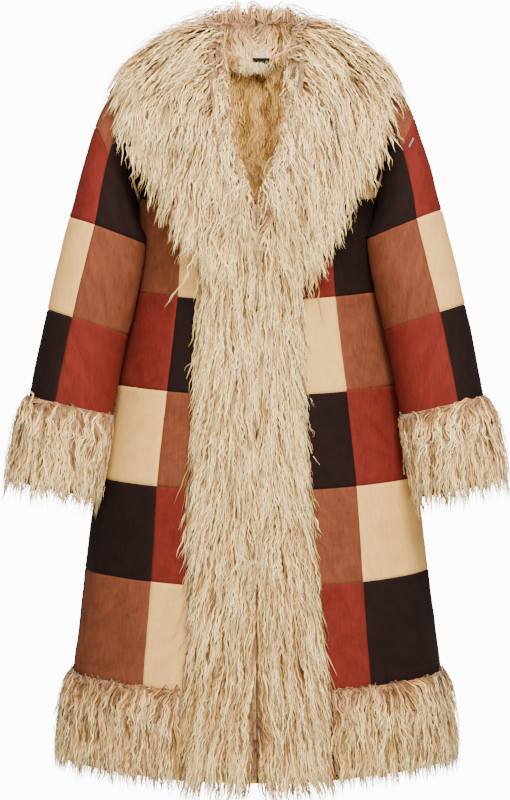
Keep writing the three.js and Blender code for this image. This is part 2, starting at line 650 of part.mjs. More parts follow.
// A cuff: fur on the sleeve's end, all the way round.
function cuffGeometry(side) {
  const rings = [9, 9.06, 9.25, 9.5, 9.75, 10];
  const pile = [0.25, 0.7, 1, 1.05, 1, 0.6];
  const count = 36;
  const top = [];
  const base = [];
  rings.forEach((ring, j) => {
    const centre = sleeveCentre(side, ring);
    const topLine = [];
    const baseLine = [];
    for (let i = 0; i < count; i += 1) {
      const angle = (360 * i) / count;
      const p = sleevePoint(side, angle, ring);
      const out = p.clone().sub(centre).normalize();
      const wave = 1 + 0.12 * locks((i / count) * 2 * Math.PI * 6, ring * 9);
      const tips = j === rings.length - 1 ? CUFF_TIPS * (0.9 + 0.3 * Math.sin((i / count) * 2 * Math.PI * 9)) : 0;
      const fur = p.clone().addScaledVector(out, LIE_GAP + CUFF_PILE * pile[j] * wave);
      fur.add(vector(side * tips * 0.1, -tips * 0.08, -tips));
      baseLine.push(p.clone().addScaledVector(out, LIE_GAP));
      topLine.push(clearOfBody(fur, 3));
    }
    top.push(topLine);
    base.push(baseLine);
  });
  return solidBetween(top, base, true);
}

// True where a point lies in the coat or less than margin from it, at the shoulders and the upper sleeves.
function insideCoat(p, margin) {
  const side = p.x < 0 ? -1 : 1;
  for (let ring = 1; ring <= 6; ring += 0.25) {
    const centre = sleeveCentre(side, ring);
    const across = vector(
      side * (column(SLEEVE, 'ring', ring, 'outerX') - column(SLEEVE, 'ring', ring, 'innerX')),
      0,
      column(SLEEVE, 'ring', ring, 'outerZ') - column(SLEEVE, 'ring', ring, 'innerZ'),
    ).multiplyScalar(0.5);
    const half = across.length();
    const offset = p.clone().sub(centre);
    const along = offset.dot(across.clone().normalize()) / (half + margin);
    const deep = offset.y / (column(SLEEVE, 'ring', ring, 'deep') + margin);
    const axial = offset.dot(vector(across.z, 0, -across.x).normalize());
    if (Math.abs(axial) < 10 && along * along + deep * deep < 1) return true;
  }
  if (p.z <= BREAK_Z) return insideBody(p, margin);
  if (Math.abs(p.x) > SHOULDER_X) return false;
  if (p.z > topEdge(p.y < RIDGE_Y ? 'front' : 'back', p.x).z + margin) return false;
  return p.y > chestY('front', p.x, p.z - margin) - margin && p.y < chestY('back', p.x, p.z - margin) + margin;
}

function collarGeometry(side) {
  const table = COLLAR.map((row, station) => {
    const flat = { station };
    COLLAR_POINTS.forEach((name, k) => row[name].forEach((value, axis) => { flat[`p${k}${axis}`] = value; }));
    return flat;
  });
  const across = [0, 0.12, 0.25, 0.38, 0.5, 0.62, 0.75, 0.88, 1];
  const steps = 32;
  const thickness = COLLAR_THICK.map((thick, k) => ({ k, thick }));
  const points = [];
  for (let j = 0; j <= steps; j += 1) {
    const station = (j / steps) * (COLLAR.length - 1);
    points.push(across.map((share) => {
      const places = COLLAR_POINTS.map((_, k) => ({
        k,
        x: column(table, 'station', station, `p${k}0`),
        y: column(table, 'station', station, `p${k}1`),
        z: column(table, 'station', station, `p${k}2`),
      }));
      return vector(...['x', 'y', 'z'].map((name) => column(places, 'k', share * 4, name)));
    }));
  }
  const normals = gridNormals(points, false, (p) => vector(p.x, p.y + 20, p.z + 120));
  normals[0].forEach((n) => n.setX(0).normalize());
  // On the inside of the stand the fur faces the neck.
  points.forEach((line, j) => {
    for (let i = line.length - 2; i >= 0; i -= 1) if (normals[j][i].dot(normals[j][i + 1]) < 0) normals[j][i].negate();
  });
  const fur = moved(points, normals, (j, i) => 3.2 * locks(j * 2.1, across[i] * 9) * Math.sin(Math.PI * across[i]));
  // The under side stops short of the coat, between its points too.
  const depth = points.map((line) => line.map((p, i) => column(thickness, 'k', across[i] * 4, 'thick')));
  const below = (j, i) => points[j][i].clone().addScaledVector(normals[j][i], -depth[j][i]);
  for (let round = 0; round < 80; round += 1) {
    let clear = true;
    for (let j = 0; j < steps; j += 1) {
      for (let i = 0; i < across.length - 1; i += 1) {
        const touches = [0, 0.5, 1].some((v) => [0, 0.5, 1].some((u) => insideCoat(
          below(j, i).lerp(below(j, i + 1), u).lerp(below(j + 1, i).lerp(below(j + 1, i + 1), u), v),
          COLLAR_CLEAR,
        )));
        if (!touches) continue;
        clear = false;
        for (const [row, col] of [[j, i], [j, i + 1], [j + 1, i], [j + 1, i + 1]]) {
          depth[row][col] = Math.max(3, depth[row][col] - 0.6);
        }
      }
    }
    if (clear) break;
  }
  const under = points.map((line, j) => line.map((p, i) => below(j, i)));
  const place = (grid) => parted(grid, ['top']).map((line) => line.map((p) => (
    vector(side * (p.z < -180 ? Math.max(p.x, 0.4) : p.x), p.y, p.z)
  )));
  return solidBetween(place(fur), place(under), false);
}

// The inside of the neck

// Short brown fur over the inside of the upper back, where it shows through the neck opening.
const LINING_ROWS = 11;
const LINING_COLUMNS = [10, 9, 8, 7, 6, 5];

function liningGeometry(left, right) {
  const order = [...LINING_COLUMNS].reverse().map((i) => [right, i]);
  for (const i of LINING_COLUMNS.slice(1)) order.push([left, i]);
  const grid = (pile) => Array.from({ length: LINING_ROWS }, (_, j) => order.map(([item, i]) => {
    const thin = i === LINING_COLUMNS[LINING_COLUMNS.length - 1] || j === LINING_ROWS - 1 ? 0.3 : 1;
    return item.points[j][i].clone().addScaledVector(item.normals[j][i], -SHELL - LIE_GAP - pile * thin);
  }));
  return solidBetween(grid(LINING_PILE), grid(0), false, LINING_COLUMNS.length - 1);
}

// Depth of the lining's fur at the centre back, at a height.
function liningY(back, z) {
  const middle = LINING_COLUMNS[0];
  const line = back.points.slice(0, LINING_ROWS).map((row, j) => (
    row[middle].clone().addScaledVector(back.normals[j][middle], -SHELL - LIE_GAP - LINING_PILE)
  ));
  let j = 0;
  while (j < line.length - 2 && z < line[j + 1].z) j += 1;
  return mix(line[j].y, line[j + 1].y, (z - line[j].z) / (line[j + 1].z - line[j].z));
}

function labelGeometry(back) {
  const grid = (lift) => [LABEL.top, LABEL.top - LABEL.height].map((z) => [-1, 1].map((across) => (
    vector(LABEL.x + (across * LABEL.width) / 2, liningY(back, z) - lift, z)
  )));
  return solidBetween(grid(LABEL.lift + LABEL.thick), grid(LABEL.lift), false);
}

function loopGeometry(back) {
  const line = new THREE.CatmullRomCurve3([-1, -0.6, 0, 0.6, 1].map((part) => {
    const z = LOOP.top - LOOP.drop * (1 - part * part);
    return vector(LABEL.x + (part * LOOP.width) / 2, liningY(back, z) - LOOP.lift, z);
  }));
  const ring = new THREE.Shape();
  ring.absarc(0, 0, LOOP.radius, 0, Math.PI * 2);
  return new THREE.ExtrudeGeometry(ring, { extrudePath: line, steps: 12, curveSegments: 8, bevelEnabled: false });
}

// A blank woven tab on the left sleeve.
function tabGeometry() {
  const place = (angle, ring, lift) => {
    const p = sleevePoint(1, angle, ring);
    return p.clone().add(p.clone().sub(sleeveCentre(1, ring)).setLength(lift));
  };
  const grid = (lift) => [-1, 1].map((down) => [-1, 0, 1].map((across) => (
    place(TAB.angle + across * TAB.halfAngle, TAB.ring + down * TAB.halfRing, lift)
  )));
  return solidBetween(grid(TAB.lift + TAB.thick), grid(TAB.lift), false);
}

const coat = new THREE.Group();
coat.name = 'coat';

function add(name, geometry, colour, roughness) {
  const mesh = new THREE.Mesh(geometry, new THREE.MeshStandardMaterial({ color: colour, roughness, metalness: 0 }));
  mesh.name = name;
  coat.add(mesh);
}

const fronts = { left: panel(1, 'front'), right: panel(-1, 'front') };
const backs = { left: panel(1, 'back'), right: panel(-1, 'back') };
weldNormals([fronts.left, fronts.right, backs.left, backs.right]);
const sleeves = { left: sleeve(1, fronts.left, backs.left), right: sleeve(-1, fronts.right, backs.right) };

for (const name of ['left', 'right']) {
  const side = name === 'left' ? 1 : -1;
  const lastRow = backs[name].rows.length - 1;
  const waistRow = backs[name].rows.findIndex((row) => row.z === WAIST_Z);
  add(`front_${name}`, panelGeometry(fronts[name], 0, lastRow), COLOURS.rust, 0.9);
  add(`back_upper_${name}`, panelGeometry(backs[name], 0, waistRow), COLOURS.tan, 0.9);
  add(`back_skirt_${name}`, panelGeometry(backs[name], waistRow, lastRow), COLOURS.rust, 0.9);
  add(`sleeve_${name}`, sleeves[name].geometry, COLOURS.tan, 0.9);
  add(`cuff_${name}`, cuffGeometry(side), COLOURS.fur, 0.95);
  add(`band_${name}`, bandGeometry(fronts[name]), COLOURS.fur, 0.95);
  add(`hem_front_${name}`, hemGeometry(fronts[name]), COLOURS.fur, 0.95);
  add(`collar_${name}`, collarGeometry(side), COLOURS.fur, 0.95);
}
add('hem_back', hemGeometry(backs.right, backs.left), COLOURS.fur, 0.95);
add('lining_back', liningGeometry(backs.left, backs.right), COLOURS.lining, 0.95);
add('neck_label', labelGeometry(backs.left), COLOURS.brown, 0.8);
add('hanger_loop', loopGeometry(backs.left), COLOURS.brown, 0.8);
add('sleeve_tab', tabGeometry(), 0x8c8f92, 0.6);

export default coat;
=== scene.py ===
"""The looks of the long patchwork coat: napped cloth in four colours, long wavy fur, a short brown lining.

Tables and formulas repeat the CAD's, in millimetres; meshes are made in metres.
"""
import math

import bpy
import numpy as np
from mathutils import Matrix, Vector
from mathutils.bvhtree import BVHTree


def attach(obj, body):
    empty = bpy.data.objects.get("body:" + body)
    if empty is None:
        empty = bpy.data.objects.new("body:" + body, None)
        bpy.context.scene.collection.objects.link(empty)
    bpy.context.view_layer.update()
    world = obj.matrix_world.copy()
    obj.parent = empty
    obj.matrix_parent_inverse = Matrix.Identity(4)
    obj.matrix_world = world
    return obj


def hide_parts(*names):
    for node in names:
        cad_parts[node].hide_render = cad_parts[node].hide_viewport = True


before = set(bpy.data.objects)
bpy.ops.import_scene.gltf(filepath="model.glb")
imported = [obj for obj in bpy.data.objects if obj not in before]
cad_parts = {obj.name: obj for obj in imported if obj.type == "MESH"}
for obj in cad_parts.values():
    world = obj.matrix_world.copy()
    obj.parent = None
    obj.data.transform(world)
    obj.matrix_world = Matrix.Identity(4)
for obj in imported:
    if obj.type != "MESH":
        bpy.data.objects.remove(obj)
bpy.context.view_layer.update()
rng = np.random.default_rng(11)

# The camera: level, straight in front, far enough away for the fur's soft perspective.
CAMERA_FAR = 4.0
CAMERA_X = -0.0022
CAMERA_Z = -0.493
VIEW_HEIGHT = 1.16

PATCH_HEIGHT = 133
PATCH_WIDTH = 131
YOKE_SEAM_Z = -87
DRAG_TOP_Z = -240
DRAG_LOW_Z = -620
FOLD_Z = -842
BREAK_Z = -220
HEM_Z = -1020
SIDE_RISE = 16
INNER_SEAM = 36
SIDE_SEAM_TOP = 90
SIDE_SEAM_HEM = 80
SHELL = 3
LIE_GAP = 0.8

# z, half the width, depth in front, depth behind, squareness
BODY = [
    (-200, 171, 150, 128, 2.35),
    (-225, 172, 150, 128, 2.35),
    (-293, 173, 145, 122, 2.3),
    (-353, 178, 140, 122, 2.28),
    (-420, 190, 147, 131, 2.25),
    (-493, 207, 157, 142, 2.2),
    (-619, 231, 173, 160, 2.15),
    (-752, 248, 187, 177, 2.1),
    (-885, 265, 199, 193, 2.1),
    (-1060, 286, 213, 211, 2.1),
]
# angle round from the centre front, width in degrees, depth, top
SKIRT_FOLDS = [
    (-66, 8, 5, -560),
    (-50, 8, -4, -620),
    (-33, 7, -5, -480),
    (31, 7, -4, -560),
    (62, 9, 5, -600),
    (104, 9, 6, -560),
    (128, 9, -6, -500),
    (154, 8, 6, -540),
    (-110, 9, 6, -520),
    (-134, 9, -6, -560),
    (-160, 8, 6, -500),
]
NECK_EDGE = [
    (-220, 0), (-200, 10), (-180, 23), (-155, 35), (-125, 43), (-85, 48), (-45, 52), (-5, 58), (24, 66),
]
NECK_SIDE_X = 66
NECK_SIDE_Z = 24
NECK_BACK_Y = 58
NECK_BACK_Z = 15
SHOULDER_X = 176
SHOULDER_Z = -16
RIDGE_Y = 2
CHEST_CURVE = 1.7
# part of the way up, z, x on the front, x on the back, sleeve angle in front, sleeve angle behind
ARMHOLE = [
    (0, -204, 171.9, 171.9, 180, 180),
    (0.18, -196, 166.5, 167.5, 153, 205),
    (0.36, -168, 159, 162, 126, 230),
    (0.54, -130, 155, 160, 99, 255),
    (0.7, -94, 156, 161, 71, 281),
    (0.83, -60, 161, 164, 48, 311),
    (0.93, -34, 168.5, 170, 24, 336),
    (1, -16, 176, 176, 0, 360),
]
# ring, outer x, outer z, inner x, inner z, middle y, depth
SLEEVE = [
    (1, 201, -36, 173.5, -212, -3, 63),
    (2, 218, -64, 165, -220, -11, 65),
    (3, 231, -95, 165, -231, -22, 66),
    (4, 250, -160, 160, -249, -40, 65),
    (5, 266.7, -226.5, 151, -270, -52, 64),
    (6, 283, -293, 166, -333, -58, 63),
    (7, 298.3, -359.5, 182, -397, -64, 62),
    (8, 311, -423, 194, -456, -72, 61),
    (9, 322.7, -487.3, 204, -514.4, -82, 60),
    (10, 344, -606, 225, -630, -101, 60),
]
SLEEVE_SEAMS = [71, 191, 311]
# A ring's and a degree's length on the sleeve
RING_MM = 66
DEGREE_MM = 1.06
# side: rings of the seams across the sleeve
SLEEVE_RINGS = {-1: (3.1, 5.08, 7.06), 1: (2.8, 4.92, 6.95)}
SLEEVE_CLEAR = [(1, 0.9), (3, 1), (5, 3), (10, 4)]
CLEAR_FROM_Y = 35
# side, from ring, to ring, from angle, to angle, width, depth
SLEEVE_CREASES = [
    (-1, 3.2, 5.2, 100, 128, 9, 3.5),
    (-1, 5, 7, 88, 118, 8, 3),
    (-1, 4.6, 8.6, 262, 240, 10, 3.5),
    (1, 4.4, 6.4, 118, 92, 9, 3.5),
    (1, 6.4, 8.8, 84, 122, 8, 3),
    (1, 4.6, 8.6, 258, 236, 10, 3.5),
]
# The collar's fur side, a row for each station from the centre back to the tip: a point at the neck seam,
# the roll, the crest, the fall and the outer edge.
COLLAR = [
    [(0, 50, 16.5), (0, 56, 66), (0, 86, 88), (0, 147, 12), (0, 157, -122)],
    [(30, 42, 18.5), (33, 46, 64), (50, 72, 84), (100, 128, 8), (116, 136, -120)],
    [(53, 20, 23), (50, 23, 60), (78, 38, 74), (160, 78, 12), (214, 84, -100)],
    [(60, -5, 27), (48, -8, 56), (88, -8, 66), (170, -8, 28), (228, -10, -60)],
    [(56, -36, 10), (40, -50, 32), (74, -70, 38), (158, -102, -38), (206, -104, -124)],
    [(49, -104, -62), (36, -122, -56), (62, -145, -54), (122, -146, -104), (160, -126, -186)],
    [(40, -140, -140), (27, -158, -138), (48, -176, -142), (92, -173, -188), (124, -156, -250)],
    [(5, -158, -212), (4, -172, -212), (24, -188, -220), (62, -182, -252), (97, -166, -300)],
    [(1, -153, -262), (1, -164, -263), (20, -180, -274), (50, -176, -298), (80, -163, -330)],
]
COLLAR_TIP = (-262, 80, -330)
# z, reach to the wearer's right, reach to the wearer's left
BAND = [
    (-260, 84, 76),
    (-353, 88, 68),
    (-489, 90, 71),
    (-619, 98, 76),
    (-751, 100, 88),
    (-900, 103, 102),
    (-1060, 108, 108),
]
BAND_PILE = 26
BAND_UNDER_COLLAR = 36
BAND_SHARES = [0, 0.1, 0.25, 0.42, 0.6, 0.78, 0.92, 1]
BAND_HEIGHTS = [0.5, 0.8, 0.96, 1, 0.98, 0.84, 0.52, 0.14]
HEM_BAND_TOP = -897
HEM_PILE = 20
CUFF_PILE = 21
# Distance of the points beside a seam, and where the points near it are, in that distance
SEAM_STEP = 1.6
SEAM_PLACES = (-2.2, -1, -0.4, 0, 0.4, 1, 2.2)
# Steps of the cloth's grids: in patches across, millimetres down, degrees round and rings along
COLUMN_STEP = 0.066
ROW_STEP = 9.5
ANGLE_STEP = 7.5
RING_STEP = 0.14
LINING_PILE = 8.5
LINING_STRANDS = 7500
TAB_ANGLE = 53
TAB_RING = 3.13
TAB_HALF_ANGLE = 7
TAB_HALF_RING = 0.035


def table_curve(rows, name_column):
    """A smooth function through a table's first column and the named one."""
    xs = np.array([r[0] for r in rows], float)
    ys = np.array([r[name_column] for r in rows], float)
    if xs[0] > xs[-1]:
        xs, ys = xs[::-1], ys[::-1]
    slopes = np.empty_like(ys)
    slopes[1:-1] = (ys[2:] - ys[:-2]) / (xs[2:] - xs[:-2])
    slopes[0] = (ys[1] - ys[0]) / (xs[1] - xs[0])
    slopes[-1] = (ys[-1] - ys[-2]) / (xs[-1] - xs[-2])

    def value(at):
        at = np.asarray(at, float)
        i = np.clip(np.searchsorted(xs, at) - 1, 0, len(xs) - 2)
        span = xs[i + 1] - xs[i]
        t = (at - xs[i]) / span
        smooth = (
            (2 * t**3 - 3 * t**2 + 1) * ys[i]
            + (t**3 - 2 * t**2 + t) * span * slopes[i]
            + (3 * t**2 - 2 * t**3) * ys[i + 1]
            + (t**3 - t**2) * span * slopes[i + 1]
        )
        return np.where((t < 0) | (t > 1), ys[i] + (ys[i + 1] - ys[i]) * t, smooth)

    return value


half_at, front_at, back_at, power_at = (table_curve(BODY, k) for k in (1, 2, 3, 4))
neck_x_at = table_curve(NECK_EDGE, 1)
arm_z_at, arm_front_at, arm_back_at = (table_curve(ARMHOLE, k) for k in (1, 2, 3))
outer_x, outer_z, inner_x, inner_z, mid_y, sleeve_deep = (table_curve(SLEEVE, k) for k in range(1, 7))
clear_at = table_curve(SLEEVE_CLEAR, 1)
reach_right, reach_left = table_curve(BAND, 1), table_curve(BAND, 2)


def mix(a, b, t):
    return a + (b - a) * t


def spow(base, exponent):
    return np.sign(base) * np.abs(base) ** exponent


def unit(v):
    return v / np.maximum(np.linalg.norm(v, axis=-1, keepdims=True), 1e-9)


def stack(x, y, z):
    return np.stack(np.broadcast_arrays(x, y, z), -1)


def facing(normal, away):
    """The normal, turned over where it points against away."""
    return np.where((normal * away).sum(-1, keepdims=True) < 0, -normal, normal)


def ease(t):
    """From 0 to 1 with a soft start and end."""
    t = np.clip(t, 0, 1)
    return t * t * (3 - 2 * t)


def skirt_fold(angle, z):
    total = np.zeros(np.broadcast(angle, z).shape)
    for centre, width, depth, top in SKIRT_FOLDS:
        fall = np.clip((top - z) / (top - HEM_Z), 0, 1.1)
        total = total + depth * fall * np.exp(-(((angle - centre) / width) ** 2))
    return total


def body_point(side, angle, z):
    sine, cosine = np.sin(np.radians(angle)), np.cos(np.radians(angle))
    depth = np.where(cosine > 0, front_at(z), back_at(z))
    swell = 1 + skirt_fold(side * angle, z) / half_at(z)
    e = 2 / power_at(z)
    return stack(
        side * half_at(z) * swell * spow(sine, e), -depth * swell * spow(cosine, e), z + SIDE_RISE * sine**2
    )


def angle_at(x, z):
    """The angle round the body, from the front edge, of the point x away from its middle."""
    return np.degrees(np.arcsin(np.clip((x / half_at(z)) ** (power_at(z) / 2), 0, 1)))


def reach_at(side, z):
    """How far a front edge's fur reaches out from that edge."""
    return np.where(side > 0, reach_left(z), reach_right(z))


def side_seam(z):
    return mix(SIDE_SEAM_TOP, SIDE_SEAM_HEM, np.clip((BREAK_Z - z) / (BREAK_Z - HEM_Z), 0, 1))


def panel_angle(face, across, z):
    seam = side_seam(z)
    if face == "back":
        return mix(seam, 180, across / 2)
    return np.where(across <= 1, INNER_SEAM * across, mix(INNER_SEAM, seam, across - 1))


def top_edge(face, x):
    wide = np.abs(x)
    slope = np.clip((wide - NECK_SIDE_X) / (SHOULDER_X - NECK_SIDE_X), 0, 1)
    part = np.clip(wide / NECK_SIDE_X, 0, 1)
    if face == "front":
        y_in, z_in = RIDGE_Y + 0 * wide, NECK_SIDE_Z + (1 - part) * 6
    else:
        y_in = mix(RIDGE_Y, NECK_BACK_Y, np.cos(math.pi / 2 * part**1.5))
        z_in = mix(NECK_BACK_Z, NECK_SIDE_Z, part**2)
    on_shoulder = wide >= NECK_SIDE_X
    z_out = mix(NECK_SIDE_Z, SHOULDER_Z, slope)
    return np.where(on_shoulder, RIDGE_Y, y_in), np.where(on_shoulder, z_out, z_in)


def chest_y(face, x, z):
    power = power_at(BREAK_Z)
    wide = np.minimum(np.abs(x) / half_at(BREAK_Z), 1)
    full = -front_at(BREAK_Z) if face == "front" else back_at(BREAK_Z)
    depth = full * (1 - wide**power) ** (1 / power)
    start = BREAK_Z + SIDE_RISE * wide**2
    top_y, top_z = top_edge(face, x)
    climb = np.clip((z - start) / (top_z - start), 0, 1)
    return mix(top_y, depth, (1 - climb**CHEST_CURVE) ** (1 / CHEST_CURVE))


def spread(face, across, part):
    power = power_at(BREAK_Z)
    share = spow(np.sin(np.radians(panel_angle(face, across, BREAK_Z))), 2 / power)
    if face == "front":
        return share
    neck_share = NECK_SIDE_X / SHOULDER_X
    low = spow(math.sin(math.radians(float(panel_angle(face, 1.5, BREAK_Z)))), 2 / power)
    lifted = np.where(share < low, share * neck_share / low, mix(neck_share, 1, (share - low) / (1 - low)))
    return mix(share, lifted, part)


def chest_point(side, face, across, part):
    share = spread(face, across, part)
    low_z = mix(BREAK_Z, NECK_SIDE_Z if face == "front" else NECK_BACK_Z, part)
    low_x = neck_x_at(low_z) if face == "front" else 0 * low_z
    x = mix(low_x, (arm_front_at if face == "front" else arm_back_at)(part), share)
    z = mix(low_z, arm_z_at(part), share ** mix(power_at(BREAK_Z), 1, part))
    y = chest_y(face, x, z)
    top_y, top_z = top_edge(face, x)
    at_top = part >= 1
    return stack(side * x, np.where(at_top, top_y, y), np.where(at_top, top_z, z))


def inside_body(p, margin):
    z = p[..., 2] - SIDE_RISE * 2 / 3
    depth = np.where(p[..., 1] < 0, front_at(z), back_at(z)) + margin
    power = power_at(z)
    return (np.abs(p[..., 0]) / (half_at(z) + margin)) ** power + (np.abs(p[..., 1]) / depth) ** power < 1


def clear_of_body(p, margin):
    step = stack(p[..., 0] * 0.45, p[..., 1] - CLEAR_FROM_Y, 0 * p[..., 2])
    step = unit(step) * 0.4
    q = p.copy()
    for _ in range(120):
        inside = inside_body(q, margin) & (p[..., 2] <= BREAK_Z + 20)
        if not inside.any():
            break
        q[inside] += step[inside]
    return q


def sleeve_centre(side, ring):
    x, z = outer_x(ring) + inner_x(ring), outer_z(ring) + inner_z(ring)
    return stack(side * x / 2, mid_y(ring), z / 2)


def sleeve_point(side, angle, ring):
    half_x = (outer_x(ring) - inner_x(ring)) / 2
    half_z = (outer_z(ring) - inner_z(ring)) / 2
    cosine, sine = np.cos(np.radians(angle)), np.sin(np.radians(angle))
    crease = np.zeros(np.broadcast(angle, ring).shape)
    for arm, from_ring, to_ring, from_angle, to_angle, width, depth in SLEEVE_CREASES:
        if arm != side:
            continue
        part = (ring - from_ring) / (to_ring - from_ring)
        off = (angle - mix(from_angle, to_angle, part)) / width
        on = (part >= 0) & (part <= 1)
        crease = crease + np.where(on, depth * np.sin(math.pi * np.clip(part, 0, 1)) * np.exp(-(off**2)), 0)
    deep = sleeve_deep(ring)
    size = 1 - crease / deep
    out = stack(side * half_x * cosine * size, -deep * sine * size, half_z * cosine * size)
    return clear_of_body(sleeve_centre(side, ring) + out, clear_at(ring))


def grid_normals(points, away, closed=False):
    if closed:
        across = np.roll(points, -1, 1) - np.roll(points, 1, 1)
    else:
        across = np.gradient(points, axis=1)
    down = np.gradient(points, axis=0)
    return facing(unit(np.cross(down, across)), away)


def from_the_middle(points):
    """The way out of the coat's middle line, and upwards on the chest."""
    return np.stack([points[..., 0], points[..., 1], np.where(points[..., 2] > BREAK_Z, 60, 0)], -1)


def noise(points, scale, seed):
    """A smooth repeatable wander from sines, about -1 to 1, over points in millimetres."""
    local = np.random.default_rng(seed)
    total = np.zeros(points.shape[:-1])
    weight = 0
    for octave in range(2):
        for _ in range(5):
            wave = unit(local.normal(size=3)) * (2 * math.pi / scale) * 1.9**octave * local.uniform(0.6, 1.4)
            total += 0.6**octave * np.sin(points @ wave + local.uniform(0, 6.28))
        weight += 0.6**octave * 2.2
    return total / weight


# Materials


class Shader:
    """A material in the making."""

    def __init__(self, name):
        self.made = bpy.data.materials.new(name)
        self.made.use_nodes = True
        self.nodes = self.made.node_tree.nodes

    def feed(self, node, inputs):
        """Sets each named input to a constant, or joins it to another node's output."""
        for name, value in inputs.items():
            if isinstance(value, bpy.types.NodeSocket):
                self.made.node_tree.links.new(value, node.inputs[name])
            else:
                node.inputs[name].default_value = value

    def add(self, kind, output, inputs, **settings):
        """Makes a node and gives its named output."""
        node = self.nodes.new("ShaderNode" + kind)
        for key, value in settings.items():
            setattr(node, key, value)
        self.feed(node, inputs)
        return node.outputs[output]

    def ramp(self, factor, stops):
        node = self.nodes.new("ShaderNodeValToRGB")
        elements = node.color_ramp.elements
        elements[0].position, elements[0].color = stops[0]
        elements[1].position, elements[1].color = stops[-1]
        for position, colour in stops[1:-1]:
            elements.new(position).color = colour
        self.feed(node, {"Fac": factor})
        return node.outputs["Color"]

    def mix(self, factor, a, b, **settings):
        return self.add("Mix", "Result", {"Factor": factor, "A": a, "B": b}, **settings)

    def finish(self, **surface):
        """Feeds the surface, whose inputs are named with _ for a space, and gives the material."""
        inputs = {key.replace("_", " "): value for key, value in surface.items()}
        self.feed(self.nodes["Principled BSDF"], inputs)
        return self.made


def linear(colour):
    return tuple(c / 12.92 if c <= 0.04045 else ((c + 0.055) / 1.055) ** 2.4 for c in colour)


def shade(colour, factor):
    return tuple(min(1, c * factor) for c in linear([v / 255 for v in colour])) + (1,)


def cloth_material(name, colour, sheen, worn):
    """Brushed needle cord: fine upright ribs, a soft nap that goes lighter and darker, and a little bloom."""
    s = Shader(name)
    place = s.add("UVMap", "UV", {}, uv_map="cloth")
    upright = s.add("Mapping", "Vector", {"Vector": place, "Scale": (1, 0.16, 1)})
    ribs = s.add(
        "TexWave", "Fac", {"Vector": place, "Scale": 260, "Distortion": 1.6, "Detail": 2},
        wave_type="BANDS", bands_direction="X",
    )
    streaks = s.add("TexNoise", "Fac", {"Vector": upright, "Scale": 300, "Detail": 4})
    soft = {"Vector": place, "Scale": 34, "Detail": 7, "Roughness": 0.72, "Distortion": 0.6}
    nap = s.mix(0.35, s.add("TexNoise", "Fac", soft), streaks, data_type="FLOAT")
    grain = s.add("TexNoise", "Color", {"Vector": place, "Scale": 1500, "Detail": 3})
    tones = s.ramp(nap, [
        (0.3, shade(colour, 1 - 0.4 * worn)), (0.5, shade(colour, 1)), (0.7, shade(colour, 1 + 0.4 * worn)),
    ])
    fine = s.add("Bump", "Normal", {"Strength": 0.16, "Distance": 0.0006, "Height": ribs})
    return s.finish(
        Base_Color=s.mix(0.28, tones, grain, data_type="RGBA", blend_type="OVERLAY"),
        Normal=s.add("Bump", "Normal", {"Strength": 0.5, "Distance": 0.0016, "Height": nap, "Normal": fine}),
        Roughness=s.add("MapRange", "Result", {"Value": streaks, "To Min": 0.78, "To Max": 0.98}),
        Specular_IOR_Level=0.1, Sheen_Weight=sheen, Sheen_Roughness=0.45, Sheen_Tint=shade(colour, 1.5),
    )


def hair_material(name, root, middle, tip, rough):
    """Strands with painted shade: darker at the root and in low locks, and along both edges of each ribbon;
    warm at the root, paler to the tip, each with its own tone and fine lines.
    """
    s = Shader(name)
    facts = s.add("Attribute", "Color", {}, attribute_name="hair")
    split = s.add("SeparateColor", "Red", {"Color": facts}).node
    # Warm and darker at the root: the fur's own warmer root colour, darkened further as painted shade deep in
    # the pile.
    along = s.ramp(split.outputs["Red"], [
        (0.0, shade(root, 1)), (0.32, shade(middle, 1)), (0.8, shade(tip, 1)),
    ])
    # Tone: a lock's own random tone, lower for locks that lie low in the pile, which is painted shade.
    tone = s.ramp(split.outputs["Green"], [
        (0.0, (0.22, 0.14, 0.07, 1)), (0.4, (0.64, 0.51, 0.34, 1)), (0.72, (1, 1, 1, 1)),
    ])
    # Painted shade: each ribbon darkens towards both its edges, as if it were a round strand.
    painted_edge_shade, full = (0.42, 0.3, 0.2, 1), (1, 1, 1, 1)
    across = s.ramp(split.outputs["Blue"], [(0.0, painted_edge_shade), (0.3, full), (0.7, full), (1.0, painted_edge_shade)])
    toned = s.mix(1, along, tone, data_type="RGBA", blend_type="MULTIPLY")
    rounded = s.mix(0.8, toned, across, data_type="RGBA", blend_type="MULTIPLY")
    place = s.add("UVMap", "UV", {}, uv_map="strand")
    lines = s.add("TexNoise", "Fac", {"Vector": place, "Scale": 5, "Detail": 3})
    return s.finish(
        Base_Color=s.mix(0.3, rounded, lines, data_type="RGBA", blend_type="OVERLAY"),
        Normal=s.add("Bump", "Normal", {"Strength": 0.4, "Distance": 0.0004, "Height": lines}),
        Roughness=rough, Specular_IOR_Level=0.35, Sheen_Weight=0.25, Sheen_Roughness=0.4,
    )


def undercoat_material(name, dark, light, scale):
    """The matted pile between the strands."""
    s = Shader(name)
    place = s.add("TexCoord", "Object", {})
    squashed = s.add("Mapping", "Vector", {"Vector": place, "Scale": (1, 1, 0.35)})
    wool = s.add("TexNoise", "Fac", {"Vector": squashed, "Scale": scale, "Detail": 6, "Distortion": 0.8})
    return s.finish(
        Base_Color=s.ramp(wool, [(0.35, shade(dark, 1)), (0.7, shade(light, 1))]),
        Normal=s.add("Bump", "Normal", {"Strength": 0.9, "Distance": 0.004, "Height": wool}),
        Roughness=0.95, Sheen_Weight=0.2,
    )


